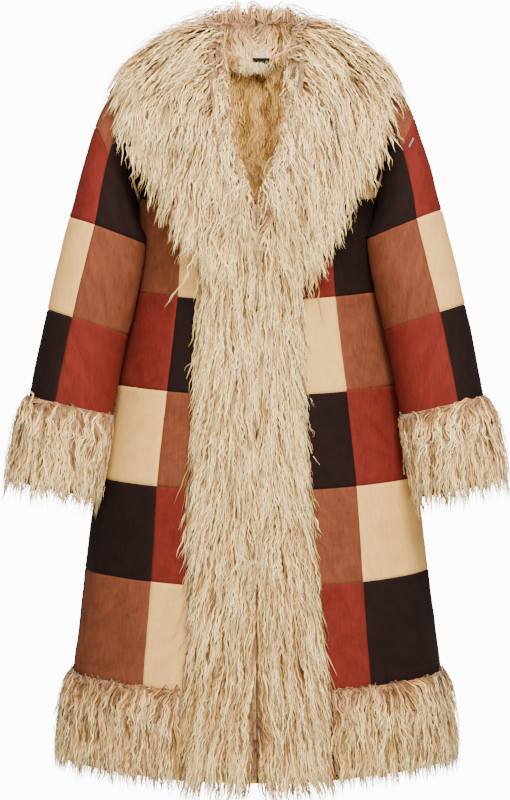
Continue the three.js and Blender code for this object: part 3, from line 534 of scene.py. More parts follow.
def woven_material(name, colour):
    """A plain weave for the label, the loop and the tab."""
    s = Shader(name)
    place = s.add("TexCoord", "Object", {})
    threads = s.add("TexNoise", "Fac", {"Vector": place, "Scale": 900, "Detail": 2})
    return s.finish(
        Base_Color=s.ramp(threads, [(0.3, shade(colour, 0.75)), (0.7, shade(colour, 1.25))]),
        Normal=s.add("Bump", "Normal", {"Strength": 0.5, "Distance": 0.0004, "Height": threads}),
        Roughness=0.85,
    )


# Meshes


def in_scene(name, data):
    made = bpy.data.objects.new(name, data)
    bpy.context.scene.collection.objects.link(made)
    return made


def make_mesh(name, points, quads, materials, which=None):
    """points in millimetres; quads as rows of four."""
    mesh = bpy.data.meshes.new(name)
    quads = np.asarray(quads, np.int32)
    mesh.vertices.add(len(points))
    mesh.vertices.foreach_set("co", (np.asarray(points, np.float32) / 1000).ravel())
    mesh.loops.add(quads.size)
    mesh.loops.foreach_set("vertex_index", quads.ravel())
    mesh.polygons.add(len(quads))
    mesh.polygons.foreach_set("loop_start", np.arange(0, quads.size, 4, dtype=np.int32))
    if which is not None:
        mesh.polygons.foreach_set("material_index", np.asarray(which, np.int32))
    mesh.polygons.foreach_set("use_smooth", np.full(len(quads), True))
    for m in materials:
        mesh.materials.append(m)
    mesh.update(calc_edges=True)
    mesh.validate()
    return in_scene(name, mesh)


def grid_quads(rows, columns, closed=False, start=0, flip=False):
    j, i = np.meshgrid(np.arange(rows - 1), np.arange(columns if closed else columns - 1), indexing="ij")
    here, i = j.ravel() * columns, i.ravel()
    below, k = here + columns, (i + 1) % columns
    quads = np.stack([here + i, below + i, below + k, here + k], 1) + start
    return quads[:, ::-1] if flip else quads


def shell_quads(rows, columns, closed):
    """Outer grid, inner grid and the rim between them."""
    n = rows * columns
    outer = grid_quads(rows, columns, closed)
    inner = grid_quads(rows, columns, closed, n, True)
    i = np.arange(columns if closed else columns - 1)
    k = (i + 1) % columns
    last = (rows - 1) * columns
    rims = [
        np.stack([i, k, n + k, n + i], 1),
        np.stack([last + k, last + i, n + last + i, n + last + k], 1),
    ]
    if not closed:
        j = np.arange(rows - 1) * columns
        rims.append(np.stack([j + columns, j, n + j, n + j + columns], 1))
        e = j + columns - 1
        rims.append(np.stack([e, e + columns, n + e + columns, n + e], 1))
    return outer, inner, np.concatenate(rims)


def faces_out(points, quads):
    p = points[quads[:, :3]]
    return (p[:, 0] * np.cross(p[:, 1], p[:, 2])).sum() > 0


def lengths(points):
    """Distance across and down a grid of points, in metres."""
    across = np.linalg.norm(np.diff(points, axis=1), axis=-1)
    down = np.linalg.norm(np.diff(points, axis=0), axis=-1)
    u = np.concatenate([np.zeros((len(points), 1)), np.cumsum(across, 1)], 1)
    v = np.concatenate([np.zeros((1, points.shape[1])), np.cumsum(down, 0)], 0)
    return u / 1000, v / 1000


def add_uv(made, name, place):
    """A UV layer, from one place for each vertex."""
    corners = np.empty(len(made.data.loops), np.int32)
    made.data.loops.foreach_get("vertex_index", corners)
    layer = made.data.uv_layers.new(name=name)
    layer.data.foreach_set("uv", np.asarray(place[corners], np.float32).ravel())


def put_in_place(made, nodes):
    """Every piece rides on the coat's one body, in place of its nodes."""
    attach(made, "root")
    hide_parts(*nodes)


def cut(points, closed=False):
    """Width and length, in metres, of the flat cut with a grid's area and its mean length down."""
    if closed:
        points = np.concatenate([points, points[:, :1]], 1)
    sides = np.diff(points, axis=0)[:, :-1], np.diff(points, axis=1)[:-1]
    area = np.linalg.norm(np.cross(*sides), axis=-1).sum() / 1e6
    length = np.linalg.norm(np.diff(points, axis=0), axis=-1).sum(0).mean() / 1e3
    return round(area / length, 3), round(length, 3)


def wall(name, outer, inner, materials, which, inside, rim_index, closed=False):
    """Cloth between an outer and an inner grid, with the outer side's own lengths as UVs."""
    front, back, rim = shell_quads(*outer.shape[:2], closed)
    points = np.concatenate([outer.reshape(-1, 3), inner.reshape(-1, 3)])
    quads = np.concatenate([front, back, rim])
    if not faces_out(points - points.mean(0), quads):
        quads = quads[:, ::-1]
    indices = np.concatenate([which.ravel(), inside.ravel(), np.full(len(rim), rim_index)])
    made = make_mesh(name, points, quads, materials, indices)
    u, v = lengths(outer)
    add_uv(made, "cloth", np.tile(np.stack([u.ravel(), v.ravel()], 1), (2, 1)))
    return made


# Patchwork

TAN, RUST, CREAM, BROWN = range(4)
# In this order down every column of patches; each column starts at its own place in it.
ORDER = [TAN, RUST, CREAM, BROWN]
# A back is one panel here and two nodes in the CAD, above and below its waist seam.
NODES_OF = {
    "back_left": ["back_upper_left", "back_skirt_left"],
    "back_right": ["back_upper_right", "back_skirt_right"],
}
PANEL_STARTS = {
    ("front", -1): (2, 0),
    ("front", 1): (1, 3),
    ("back", -1): (1, 3),
    ("back", 1): (2, 0),
}
SLEEVE_STARTS = {"outer": 0, "inner": 2, "back": 1}

cloths = [
    cloth_material("tan_cord", (97, 50, 30), 0.1, 1.0),
    cloth_material("rust_cord", (92, 27, 19), 0.08, 0.9),
    cloth_material("cream_cord", (204, 156, 86), 0.05, 0.45),
    cloth_material("brown_cord", (22, 9, 6), 0.02, 1.2),
]
lining_cloth = undercoat_material("lining_pile_base", (150, 92, 40), (250, 196, 108), 45)
# Painted shade: the fur's undercoat is darkened as the shade deep between the strands.
painted_shade_undercoat = undercoat_material("fur_undercoat_painted_shade", (84, 52, 22), (176, 126, 66), 220)
fur_hair = hair_material("wavy_fur", (140, 86, 36), (242, 198, 122), (255, 234, 168), 0.42)
lining_hair = hair_material("lining_pile", (190, 116, 44), (252, 196, 94), (255, 224, 132), 0.6)


def fine_steps(knots, step, seams):
    """Places between knots about a step apart, closer beside each seam."""
    places = [knots[0]]
    for a, b in zip(knots[:-1], knots[1:]):
        count = max(1, round(abs(b - a) / step))
        places += list(np.linspace(a, b, count + 1)[1:])
    for seam, beside in seams:
        places += [seam + d * beside for d in SEAM_PLACES]
    low, high = min(knots), max(knots)
    places = np.array(sorted({round(p, 5) for p in places if low <= p <= high}))
    for seam, beside in seams:
        own = [round(seam + d * beside, 5) for d in SEAM_PLACES]
        near = (np.abs(places - seam) < SEAM_PLACES[-1] * beside) & ~np.isin(places, own)
        places = places[~near]
    return places


def seam_relief(distance):
    """Depth of a seam and the soft ridges beside it, by distance in millimetres."""
    return 0.45 * np.exp(-(((distance - 4.5) / 2.6) ** 2)) - 1.3 * np.exp(-((distance / 1.3) ** 2))


def pucker(u, distance, seed):
    """Small gathers along a seam, fading away from it."""
    wave = np.sin(u / 2.4 + 1.7 * np.sin(u / 9 + seed) + seed)
    return 0.32 * wave * np.exp(-distance / 9)


def panel(name, side, face):
    """One front or back: a wall of cloth on the body's shape, with its patches, seams and soft creases."""
    columns = fine_steps([0, 1, 2], COLUMN_STEP, [(1, SEAM_STEP / PATCH_WIDTH)])
    parts = np.array(sorted({round(v, 5) for v in np.concatenate([
        np.linspace(a[0], b[0], 5) for a, b in zip(ARMHOLE[:-1], ARMHOLE[1:])
    ])}))[::-1]
    seams = [BREAK_Z - PATCH_HEIGHT * k for k in range(5)]
    levels = fine_steps([HEM_Z, BREAK_Z], ROW_STEP, [(s, SEAM_STEP) for s in seams[1:]])[::-1]
    rows = len(parts) + len(levels)
    across = np.broadcast_to(columns, (rows, len(columns)))
    on_chest, on_skirt = across[: len(parts)], across[len(parts):]
    upper = chest_point(side, face, on_chest, parts[:, None] + 0 * on_chest)
    z = levels[:, None] + 0 * on_skirt
    lower = body_point(side, panel_angle(face, on_skirt, z), z)
    points = np.concatenate([upper, lower])
    normals = grid_normals(points, from_the_middle(points))
    top_low = NECK_SIDE_Z if face == "front" else NECK_BACK_Z
    level = np.concatenate([mix(BREAK_Z, top_low, parts), levels])
    u, v = lengths(points)
    to_row = np.min(np.abs(level[:, None] - np.array([YOKE_SEAM_Z] + seams)[None, :]), 1)[:, None]
    to_column = np.abs(across - 1) * PATCH_WIDTH
    lift = seam_relief(to_row) + seam_relief(to_column)
    lift += pucker(u * 1000, to_row, side + 2) * (to_column > 4) + pucker(v * 1000, to_column, side + 5)
    lift += 1.1 * noise(points * [1, 1, 0.55], 120, 31) + 0.45 * noise(points * [1, 1, 0.7], 42, 32)
    # Long slanting drag lines down from the arm, and a shallow fold across near the hem.
    x, height = points[..., 0], points[..., 2]
    drag = x * side * 0.92 + height * 0.38
    fade = np.clip((DRAG_TOP_Z - height) / 80, 0, 1) * np.clip((height - DRAG_LOW_Z) / 160, 0, 1)
    lift += 0.8 * fade * np.sin(drag / 11) * np.clip(np.abs(x) / 90 - 0.6, 0, 1)
    lift += 1.2 * np.exp(-(((height - FOLD_Z - 0.05 * x) / 7) ** 2)) * (side < 0)
    outer = points + normals * lift[..., None]
    inner = points - normals * SHELL
    patch_row = np.floor((BREAK_Z - (level[:-1] + level[1:]) / 2) / PATCH_HEIGHT).astype(int).clip(-1, 4)
    middle = (columns[:-1] + columns[1:]) / 2
    inner_column = middle < 1 if face == "front" else middle > 1
    starts = PANEL_STARTS[(face, side)]
    start = np.where(inner_column, starts[0], starts[1])
    which = np.array(ORDER)[(start[None, :] + patch_row[:, None]) % 4]
    return cloth_piece(name, outer, inner, which, False)


def cloth_piece(name, outer, inner, which, closed):
    materials = [*cloths, lining_cloth]
    lined = len(cloths)
    made = wall(name, outer, inner, materials, which, np.full_like(which, lined), lined, closed)
    put_in_place(made, NODES_OF.get(name, [name]))
    cut((outer + inner) / 2, closed)
    return made


def armhole_edge(side, angles):
    """The points of the panels' armholes at the sleeve's angles."""
    parts, _, _, _, front_angles, back_angles = np.array(ARMHOLE, float).T
    outer_edge = np.full(len(angles), 2.0)
    front = chest_point(side, "front", outer_edge, np.interp(angles, front_angles[::-1], parts[::-1]))
    back = chest_point(side, "back", 0 * outer_edge, np.interp(angles, back_angles, parts))
    return np.where((angles <= 180)[:, None], front, back)


def sleeve(name, side):
    """A tube of cloth from the armhole to the wrist, three patches round."""
    beside = SEAM_STEP / DEGREE_MM
    angles = fine_steps([0, *SLEEVE_SEAMS, 360], ANGLE_STEP, [(s, beside) for s in SLEEVE_SEAMS])[:-1]
    seams = SLEEVE_RINGS[side]
    beside = SEAM_STEP / RING_MM
    rings = fine_steps([1, *seams, 10], RING_STEP, [(s, beside) for s in seams])
    rings = np.concatenate([np.linspace(0, 1, 6)[:-1], rings])
    edge = armhole_edge(side, angles)
    first = sleeve_point(side, angles, np.ones(len(angles)))
    away = unit(first - edge) + np.array([side * 1.4, 0, 0.4])
    edge = edge + 0.9 * unit(away)
    grid = []
    for ring in rings:
        if ring < 1:
            grid.append(mix(edge, first, ease(ring) * 0.35 + ring * 0.65))
        else:
            grid.append(sleeve_point(side, angles, np.full(len(angles), ring)))
    points = np.array(grid)
    centres = sleeve_centre(side, np.maximum(rings, 1))[:, None]
    normals = grid_normals(points, points - centres, True)
    # The inner column's first seam is the armhole.
    first_seam = np.where((angles > SLEEVE_SEAMS[0]) & (angles < SLEEVE_SEAMS[1]), 0, seams[0])
    to_row = np.abs(rings[:, None] - first_seam[None, :])
    for seam in seams[1:]:
        to_row = np.minimum(to_row, np.abs(rings - seam)[:, None])
    to_row = to_row * RING_MM
    to_column = np.min(np.abs(angles[:, None] - np.array(SLEEVE_SEAMS)[None, :]), 1)[None, :] * DEGREE_MM
    u, v = lengths(points)
    lift = seam_relief(to_row) + seam_relief(to_column)
    lift = lift + pucker(u * 1000, to_row, 3) * (to_column > 4) + pucker(v * 1000, to_column, 7)
    lift += 0.7 * noise(points * [1, 1, 0.6], 80, 41 + side) + 0.35 * noise(points * [1, 1, 0.7], 34, 43)
    fade = np.clip((rings - 1.2) / 1.5, 0, 1)[:, None]
    near_body = (normals[..., 0] * side < -0.2) & (points[..., 2] < BREAK_Z + 40)
    lift = np.where(near_body, np.minimum(lift, 0.2), lift)
    outer = points + normals * (lift * fade)[..., None]
    inner = points - normals * SHELL
    middle_ring = (rings[:-1] + rings[1:]) / 2
    patch_row = np.searchsorted(seams, middle_ring)[:, None].repeat(len(angles), 1)
    middle_angle = (angles + np.append(angles[1:], 360)) / 2
    column = np.select(
        [middle_angle < seam for seam in SLEEVE_SEAMS],
        [SLEEVE_STARTS["outer"], SLEEVE_STARTS["inner"], SLEEVE_STARTS["back"]],
        SLEEVE_STARTS["outer"],
    )
    inner_top = (column == SLEEVE_STARTS["inner"])[None, :] & (patch_row == 0)
    which = np.array(ORDER)[(column[None, :] + np.where(inner_top, 1, patch_row)) % 4]
    return cloth_piece(name, outer, inner, which, True)


# Fur

TRIAL_STEPS = 5
# How fast a hair rises from its root to its full height, and the step, in mean steps, that makes it a jump
RISE = 3.2
JUMP = 3.5
# Where painted shade makes the fur darker low down, and where the bands part, with half the width of the
# parting's painted shadow
PAINTED_SHADE_FROM_Z = -450
PARTING_SHADOW_FROM_Z = -820
PARTING_SHADOW_HALF = 16
# A ray that starts this far under the collar's fur side, and is this long in metres, finds the solid's other
# side; where the solid is less deep than the last, its edge is rounded off.
RAY_UNDER = 4
RAY_LENGTH = 0.04
LEAST_DEPTH = 5.2


class Pile:
    """The room that hair fills: a lower and an upper grid, read at a and b, from 0 to 1, and at height w."""

    def __init__(self, low, high, closed=False):
        self.low, self.high, self.closed = low, high, closed

    def at(self, a, b, w):
        """Past an edge the ground runs on straight, and the pile keeps the edge's depth."""
        rows, columns = self.low.shape[:2]
        if self.closed:
            b = b % 1
        fa, fb = a * (rows - 1), b * (columns - 1)
        j = np.clip(np.floor(fa).astype(int), 0, rows - 2)
        i = np.clip(np.floor(fb).astype(int), 0, columns - 2)
        s, t = (fa - j)[..., None], (fb - i)[..., None]

        def read(grid, s, t):
            upper = grid[j, i] * (1 - t) + grid[j, i + 1] * t
            lower = grid[j + 1, i] * (1 - t) + grid[j + 1, i + 1] * t
            return upper * (1 - s) + lower * s

        depth = read(self.high - self.low, np.clip(s, 0, 1), np.clip(t, 0, 1))
        return read(self.low, s, t) + depth * np.asarray(w)[..., None]

    def body(self, w_low, w_high, share_a=1, share_b=1):
        """The closed undercoat inside the pile, which may stop short of the ends of a and b."""
        rows, columns = self.low.shape[:2]
        keep_a = round((rows - 1) * share_a) + 1
        keep_b = columns - 1 if self.closed else round((columns - 1) * share_b) + 1
        low = (self.low * (1 - w_low) + self.high * w_low)[:keep_a, :keep_b]
        high = (self.low * (1 - w_high) + self.high * w_high)[:keep_a, :keep_b]
        outer, inner, rim = shell_quads(keep_a, keep_b, self.closed)
        points = np.concatenate([high.reshape(-1, 3), low.reshape(-1, 3)])
        quads = np.concatenate([outer, inner, rim])
        return points, quads if faces_out(points, quads) else quads[:, ::-1], (low + high) / 2


def sample_roots(pile, count, weight):
    """Roots spread by area, times a weight."""
    rows, columns = pile.low.shape[:2]
    level = pile.low * 0.2 + pile.high * 0.8
    da, db = np.gradient(level, axis=0), np.gradient(level, axis=1)
    area = np.linalg.norm(np.cross(da, db), axis=-1)[:-1, :-1].clip(1e-6)
    middle_a, middle_b = ((np.arange(n) + 0.5) / n for n in (rows - 1, columns - 1))
    area = area * weight(*np.meshgrid(middle_a, middle_b, indexing="ij"))
    chance = (area / area.sum()).ravel()
    order = np.searchsorted(np.cumsum(chance), (np.arange(count) + rng.random(count)) / count)
    order = np.clip(order, 0, chance.size - 1)
    j, i = np.divmod(order, columns - 1)
    return (j + rng.random(count)) / (rows - 1), (i + rng.random(count)) / (columns - 1)


def directions(pile, a, b, w):
    """A point in the pile, how it moves with a and b, and the way out of the pile there."""
    eps = 1e-3
    p = pile.at(a, b, w)
    pa = (pile.at(a + eps, b, w) - p) / eps
    pb = (pile.at(a, b + eps, w) - p) / eps
    return p, pa, pb, facing(unit(np.cross(pa, pb)), pile.at(a, b, w + 0.2) - p)


def step_along(a, b, pa, pb, want, distance):
    """Where (a, b) gets to when the point moves by distance along want."""
    aa, bb, ab = (pa * pa).sum(-1), (pb * pb).sum(-1), (pa * pb).sum(-1)
    wa, wb = (pa * want).sum(-1), (pb * want).sum(-1)
    det = np.maximum(aa * bb - ab * ab, 1e-6)
    return a + distance * (wa * bb - wb * ab) / det, b + distance * (wb * aa - wa * ab) / det


def guides(pile, a, b, length, top, flow, steps, ends, root, side_roots=0):
    """Follows the hair's flow from each root through the pile: points, sideways and outward directions.

    ends gives the least and most that a and b may reach: a root whose tip would pass them starts further
    back, which a few trial steps find. A root is at height root, or higher next to b = 0, within side_roots.
    Guides that jump are dropped.
    """
    def step(a, b, w, s, distance):
        p, pa, pb, out = directions(pile, a, b, w)
        want = flow(a, b, p, pa, pb, s)
        want = unit(want - out * (want * out).sum(-1, keepdims=True))
        return p, out, want, *step_along(a, b, pa, pb, want, distance)

    low_a, high_a, low_b, high_b = ends
    start_a, start_b = a, b
    for _ in range(2):
        a, b = start_a, start_b
        for k in range(TRIAL_STEPS):
            *_, a, b = step(a, b, 0.6, k / TRIAL_STEPS, length / TRIAL_STEPS)
        start_a = start_a + np.minimum(high_a - a, 0) + np.maximum(low_a - a, 0)
        start_b = start_b + np.minimum(high_b - b, 0) + np.maximum(low_b - b, 0)
        start_a = np.clip(start_a, 0, 1)
        start_b = start_b if pile.closed else np.clip(start_b, 0, 1)
    a, b = start_a, start_b
    first = mix(root, 0.85 * top, np.clip(1 - b / side_roots, 0, 1) if side_roots else 0 * b)
    path, sides, outs = [], [], []
    for k in range(steps + 1):
        s = k / steps
        w = first + (top - first) * (1 - np.exp(-RISE * s)) / (1 - math.exp(-RISE))
        p, out, want, a, b = step(a, b, w, s, length / steps)
        path.append(p)
        outs.append(out)
        sides.append(unit(np.cross(want, out)))
    path, sides, outs = np.stack(path, 1), np.stack(sides, 1), np.stack(outs, 1)
    longest = np.linalg.norm(np.diff(path, axis=1), axis=-1).max(1)
    steady = longest < JUMP * length / steps
    return path[steady], sides[steady], outs[steady], top[steady]


def strands(path, side, out, height, per_lock, settings):
    """Ribbons round each lock's guide line: they curl together and draw in to a point.

    height, from 0 to 1, is how high a lock lies; the lower ones are darker, as painted shade deep in the
    pile.
    """
    def again(x):
        return np.repeat(x, per_lock, 0)

    locks, count = path.shape[:2]
    s = np.linspace(0, 1, count)[None, :, None]
    each, lock = (locks * per_lock, 1, 1), (locks, 1, 1)
    path, side, out = again(path), again(side), again(out)
    length = np.linalg.norm(np.diff(path, axis=1), axis=-1).sum(1)[:, None, None]
    turn = rng.uniform(0, 2 * math.pi, each)
    radius = settings["spread"] * np.sqrt(rng.random(each))
    draw = mix(1, settings["tip_spread"], s**0.8)
    p = path + (side * np.cos(turn) + 0.7 * out * np.sin(turn)) * radius * draw
    grow = np.clip(s * 2.6, 0, 1) * (0.7 + 0.3 * s)
    phase = again(rng.uniform(0, 2 * math.pi, lock)) + rng.normal(0, 0.35, each)
    period = again(rng.uniform(*settings["period"], lock)) * rng.uniform(0.94, 1.06, each)
    size = again(rng.uniform(*settings["wave"], lock))
    cycle = 2 * math.pi * s * length / period + phase
    p = p + (side * np.sin(cycle) + 0.6 * out * np.cos(cycle)) * size * grow
    bend = again(rng.normal(0, settings["stray"], lock)) + rng.normal(0, settings["stray"] * 0.4, each)
    p = p + side * bend * s**1.6
    wild = again(rng.random(lock) < settings["wild"])
    aside = again(rng.normal(0, 8, lock))
    p = p + np.where(wild, (side * aside + out * np.abs(aside) * 0.4) * s**1.5, 0)
    roll = rng.uniform(-0.7, 0.7, each) + 0.4 * np.sin(cycle * 0.5)
    taper = 0.8 + 0.3 * np.sin(math.pi * s)
    wide = rng.uniform(*settings["width"], each) * taper * np.clip((1.02 - s) * 3, 0.1, 1)
    arm = (side * np.cos(roll) + out * np.sin(roll)) * wide / 2
    # Lower locks get darker tones, painted shade deep in the pile; each lock and strand also has a random
    # tone of its own.
    tone = again(mix(*settings["tone"], height[:, None]) + rng.normal(0, 0.2, (locks, 1)))
    tone = tone + rng.normal(0, 0.14, (len(path), 1))
    x, z = path[:, 0, :1], path[:, 0, 2:]
    # Painted shade: the fur is darker low down, where the light falls off, and more so in the painted shadow
    # where the bands part.
    tone = tone - 0.2 * np.clip((PAINTED_SHADE_FROM_Z - z) / 500, 0, 1)
    parting = np.clip(1 - np.abs(x) / PARTING_SHADOW_HALF, 0, 1) * np.clip((PARTING_SHADOW_FROM_Z - z) / 90, 0, 1)
    tone = tone - 0.5 * parting
    shape = (len(path), count)
    return p - arm, p + arm, np.broadcast_to(s[..., 0], shape), np.broadcast_to(np.clip(tone, 0, 1), shape)


def undercoat(name, pile, shape, material):
    """The matted layer under the hair, as a closed shell in place of the trim's node."""
    points, quads, middle = pile.body(*shape)
    made = make_mesh(f"{name}_ground", points, quads, [material])
    put_in_place(made, [name])
    cut(middle, pile.closed)


def hair_piece(name, node_name, ribbons, material):
    """All the strands of one trim, as one piece."""
    points, quads, facts, place, start = [], [], [], [], 0
    for left, right, s, tone in ribbons:
        n, count = s.shape
        points.append(np.stack([left, right], 2).reshape(-1, 3))
        first = start + ((np.arange(n)[:, None] * count + np.arange(count - 1)[None, :]) * 2).ravel()
        quads.append(np.stack([first, first + 1, first + 3, first + 2], 1))
        # edge runs from 0 to 1 across each ribbon; the material paints shade along both edges from it.
        s, tone, edge = np.repeat(s, 2, 1), np.repeat(tone, 2, 1), np.tile([0.0, 1.0], (n, count))
        facts.append(np.stack([s, tone, edge, 1 + 0 * s], -1).reshape(-1, 4))
        place.append(np.stack([edge + 7.3 * np.arange(n)[:, None], 0.6 * s], -1).reshape(-1, 2))
        start += 2 * n * count
    made = make_mesh(name, np.concatenate(points), np.concatenate(quads), [material])
    layer = made.data.color_attributes.new("hair", "FLOAT_COLOR", "POINT")
    layer.data.foreach_set("color", np.concatenate(facts).astype(np.float32).ravel())
    add_uv(made, "strand", np.concatenate(place))
    put_in_place(made, [node_name])
    return made


# Radius of a lock, how far it stays open at the tip, curls' length and height, how far locks and single
# strands stray, a strand's width, all in millimetres, and the tone of low and high locks, the low ones darker
# as painted shade.
CURLS = {
    "spread": 1.6, "tip_spread": 0.6, "period": (10, 19), "wave": (0.3, 1.7), "stray": 5.5, "wild": 0.1,
    "width": (0.75, 1.5), "tone": (0.25, 0.95),
}
# The under layer's tones are low: painted shade between the curled locks.
UNDER = {
    "spread": 0, "tip_spread": 1, "period": (18, 30), "wave": (0.6, 1.6), "stray": 4, "wild": 0,
    "width": (1.8, 2.8), "tone": (0.05, 0.55),
}
SHORT = {
    "spread": 1.2, "tip_spread": 0.5, "period": (18, 30), "wave": (0.2, 0.7), "stray": 2.2, "wild": 0.05,
    "width": (0.9, 1.5), "tone": (0.25, 1.0),
}
# Points along a hair of the under layer and of the curls, and strands in a curled lock
UNDER_STEPS = 7
CURL_STEPS = 22
PER_LOCK = 2
DOWN = np.array([0.0, 0.0, -1.0])


def evenly(a, b):
    return 1 + 0 * a


def layer(pile, locks, steps, per_lock, settings, high, trim):
    """One layer of a trim's hair, whose tips reach heights from high[0] to high[1] of the pile."""
    a, b = sample_roots(pile, locks, trim["weight"])
    height = rng.random(locks)
    loose = rng.random(locks) ** 1.6
    low_a, high_a, low_b, high_b = trim["ends"]
    ends = (low_a, mix(*high_a, loose), low_b, mix(*high_b, loose) - trim["shorter"](a))
    length = rng.uniform(*trim["length"], locks)
    path, side, out, top = guides(
        pile, a, b, length, mix(*high, height), trim["flow"], steps, ends, 0.4, trim["side_roots"],
    )
    path = trim["settle"](path)
    return strands(path, side, out, (top - high[0]) / (high[1] - high[0]), per_lock, settings)


def pile_on(read, a, b, height, shares):
    """Fur of a height, times its shares, on the surface that read gives at (a, b)."""
    eps = 0.02
    base = read(a, b)
    pa = read(a + eps, b) - read(a - eps, b)
    pb = read(a, b + eps) - read(a, b - eps)
    normals = facing(unit(np.cross(pa, pb)), base * [1, 1, 0])
    low = base + normals * LIE_GAP
    return Pile(low, low + normals * height * shares[..., None])


def band(side):
    """A front edge's fur: a goes down, b out from the front edge. It starts under the collar's tip."""
    b, a = np.meshgrid(np.linspace(0, 1, 15), np.linspace(0, 1, 90))

    def read(a, b):
        start = COLLAR_TIP[0] - 4 + (COLLAR_TIP[2] - COLLAR_TIP[0] - 4) * b + BAND_UNDER_COLLAR
        z = mix(start, HEM_Z, a)
        return body_point(side, angle_at(mix(1, reach_at(side, z), b).clip(0.2), z), z)

    return pile_on(read, a, b, BAND_PILE, np.interp(b, BAND_SHARES, BAND_HEIGHTS))


def hem(side, face):
    """The fur round the hem: a goes down, b round to the side seam, or round the whole back."""
    b, a = np.meshgrid(np.linspace(0, 1, 60), np.linspace(0, 1, 16))

    def read(a, b):
        z = mix(HEM_BAND_TOP, HEM_Z, a)
        seam = side_seam(z)
        if face == "front":
            return body_point(side, mix(angle_at(reach_at(side, z) + 1.5, z), seam - 0.1, b), z)
        angle = mix(seam + 0.1, 360 - seam - 0.1, b)
        left = body_point(1, np.minimum(angle, 180), z)
        right = body_point(-1, np.minimum(360 - angle, 180), z)
        return np.where((angle <= 180)[..., None], left, right)

    shares = np.interp(a, [0, 0.05, 0.2, 0.45, 0.75, 1], [0.25, 0.68, 0.98, 1.04, 1, 0.75])
    return pile_on(read, a, b, HEM_PILE, shares)


def cuff(side):
    """The fur round a wrist: a goes down, b round."""
    b, a = np.meshgrid(np.linspace(0, 1, 61), np.linspace(0, 1, 16))
    shares = np.interp(a, [0, 0.06, 0.25, 0.5, 0.75, 1], [0.25, 0.7, 1, 1.05, 1, 0.75])
    ring = 9 + a
    base = sleeve_point(side, 360 * (b % 1), ring)
    out = unit(base - sleeve_centre(side, ring))
    low = base + out * LIE_GAP
    # The fur is pressed flat where the arm hangs against the skirt.
    flat = np.exp(-((((b % 1) - 0.5) / 0.16) ** 2))[..., None]
    high = clear_of_body(low + out * CUFF_PILE * shares[..., None] * (1 - 0.72 * flat), 3)
    return Pile(low, high, True)


def around(grid):
    """Each value's mean with its four neighbours."""
    padded = np.pad(grid, 1, mode="edge")
    return (grid + padded[:-2, 1:-1] + padded[2:, 1:-1] + padded[1:-1, :-2] + padded[1:-1, 2:]) / 5


def collar(side, name):
    """The collar's pile: its fur side from the table, down to where the CAD solid meets the coat."""
    steps, shares = np.linspace(0, 1, 97), np.linspace(0, 1, 33)
    station = steps * (len(COLLAR) - 1)
    knots = np.array([[
        table_curve([(s, row[k][axis]) for s, row in enumerate(COLLAR)], 1)(station) for axis in range(3)
    ] for k in range(5)])
    high = np.empty((len(steps), len(shares), 3))
    for j in range(len(steps)):
        for axis in range(3):
            high[j, :, axis] = table_curve([(k, knots[k, axis, j]) for k in range(5)], 1)(shares * 4)
    normals = grid_normals(high, high + [0, 20, 120])
    for i in range(len(shares) - 2, -1, -1):
        normals[:, i] = facing(normals[:, i], normals[:, i + 1])
    high[..., 0] *= side
    normals[..., 0] *= side
    # The CAD solid says how deep the fur goes before it meets the coat.
    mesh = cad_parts[name].data
    tree = BVHTree.FromPolygons(
        [v.co for v in mesh.vertices], [tuple(p.vertices) for p in mesh.polygons], epsilon=0.0
    )
    depth = np.zeros(high.shape[:2])
    for j in range(high.shape[0]):
        for i in range(high.shape[1]):
            start = Vector((high[j, i] - normals[j, i] * RAY_UNDER) / 1000)
            hit = tree.ray_cast(start, Vector(-normals[j, i]), RAY_LENGTH)
            if hit[0] is not None:
                depth[j, i] = hit[3] * 1000 + RAY_UNDER
    # At the ends and along the inner edge the solid is rounded off, and the fur keeps its depth there.
    known = (depth > LEAST_DEPTH).astype(float)
    known[:4] = known[-4:] = known[:, :2] = 0
    soft, share = depth * known, known
    for _ in range(12):
        soft, share = around(soft), around(share)
        soft, share = mix(soft, depth, known), mix(share, 1, known)
    soft = soft / share.clip(1e-6)
    for _ in range(4):
        soft = around(soft)
    low = high - normals * soft[..., None]
    # The fur thins to the bands' depth at the tip, and is puffed up along the crest at the back.
    end = ease((steps - 0.84) / 0.16)[:, None]
    thin = mix(1, np.minimum(1, BAND_PILE * 0.9 / soft.clip(1)), end)
    puff = 0.45 * np.exp(-(((shares - 0.47) / 0.2) ** 2))
    thin = thin + puff * np.clip((0.42 - steps) / 0.2, 0, 1)[:, None]
    return Pile(low, low + (high - low) * thin[..., None])


def hang(outward, lifted=0.0, tangled=0.0):
    """Flow for a trim that hangs: down, fanning to its open side; at its top edge the hair first stands up,
    and a tangled one swirls there."""
    def flow(a, b, p, pa, pb, s):
        up = lifted * np.clip((0.14 - a) / 0.14, 0, 1) * (1 - s) ** 3
        swirl = 1 + tangled * np.clip((0.75 - a) / 0.4, 0, 1)
        wander = swirl * (0.16 * noise(p, 60, 8) + 0.22 * noise(p, 22, 9))
        return DOWN * (1 - up)[:, None] + (outward(a, b) + wander)[:, None] * unit(pb)
    return flow


def straight(a, b):
    return 0 * b


def part_and_fan(a, b):
    """The bands' fur fans to their outer edge, and low down it parts at the front edge."""
    parting = 0.3 * np.clip((a - 0.5) / 0.3, 0, 1) * np.clip((0.3 - b) / 0.3, 0, 1)
    return 0.04 + 0.38 * np.clip(b - 0.3, -0.3, 1) + parting


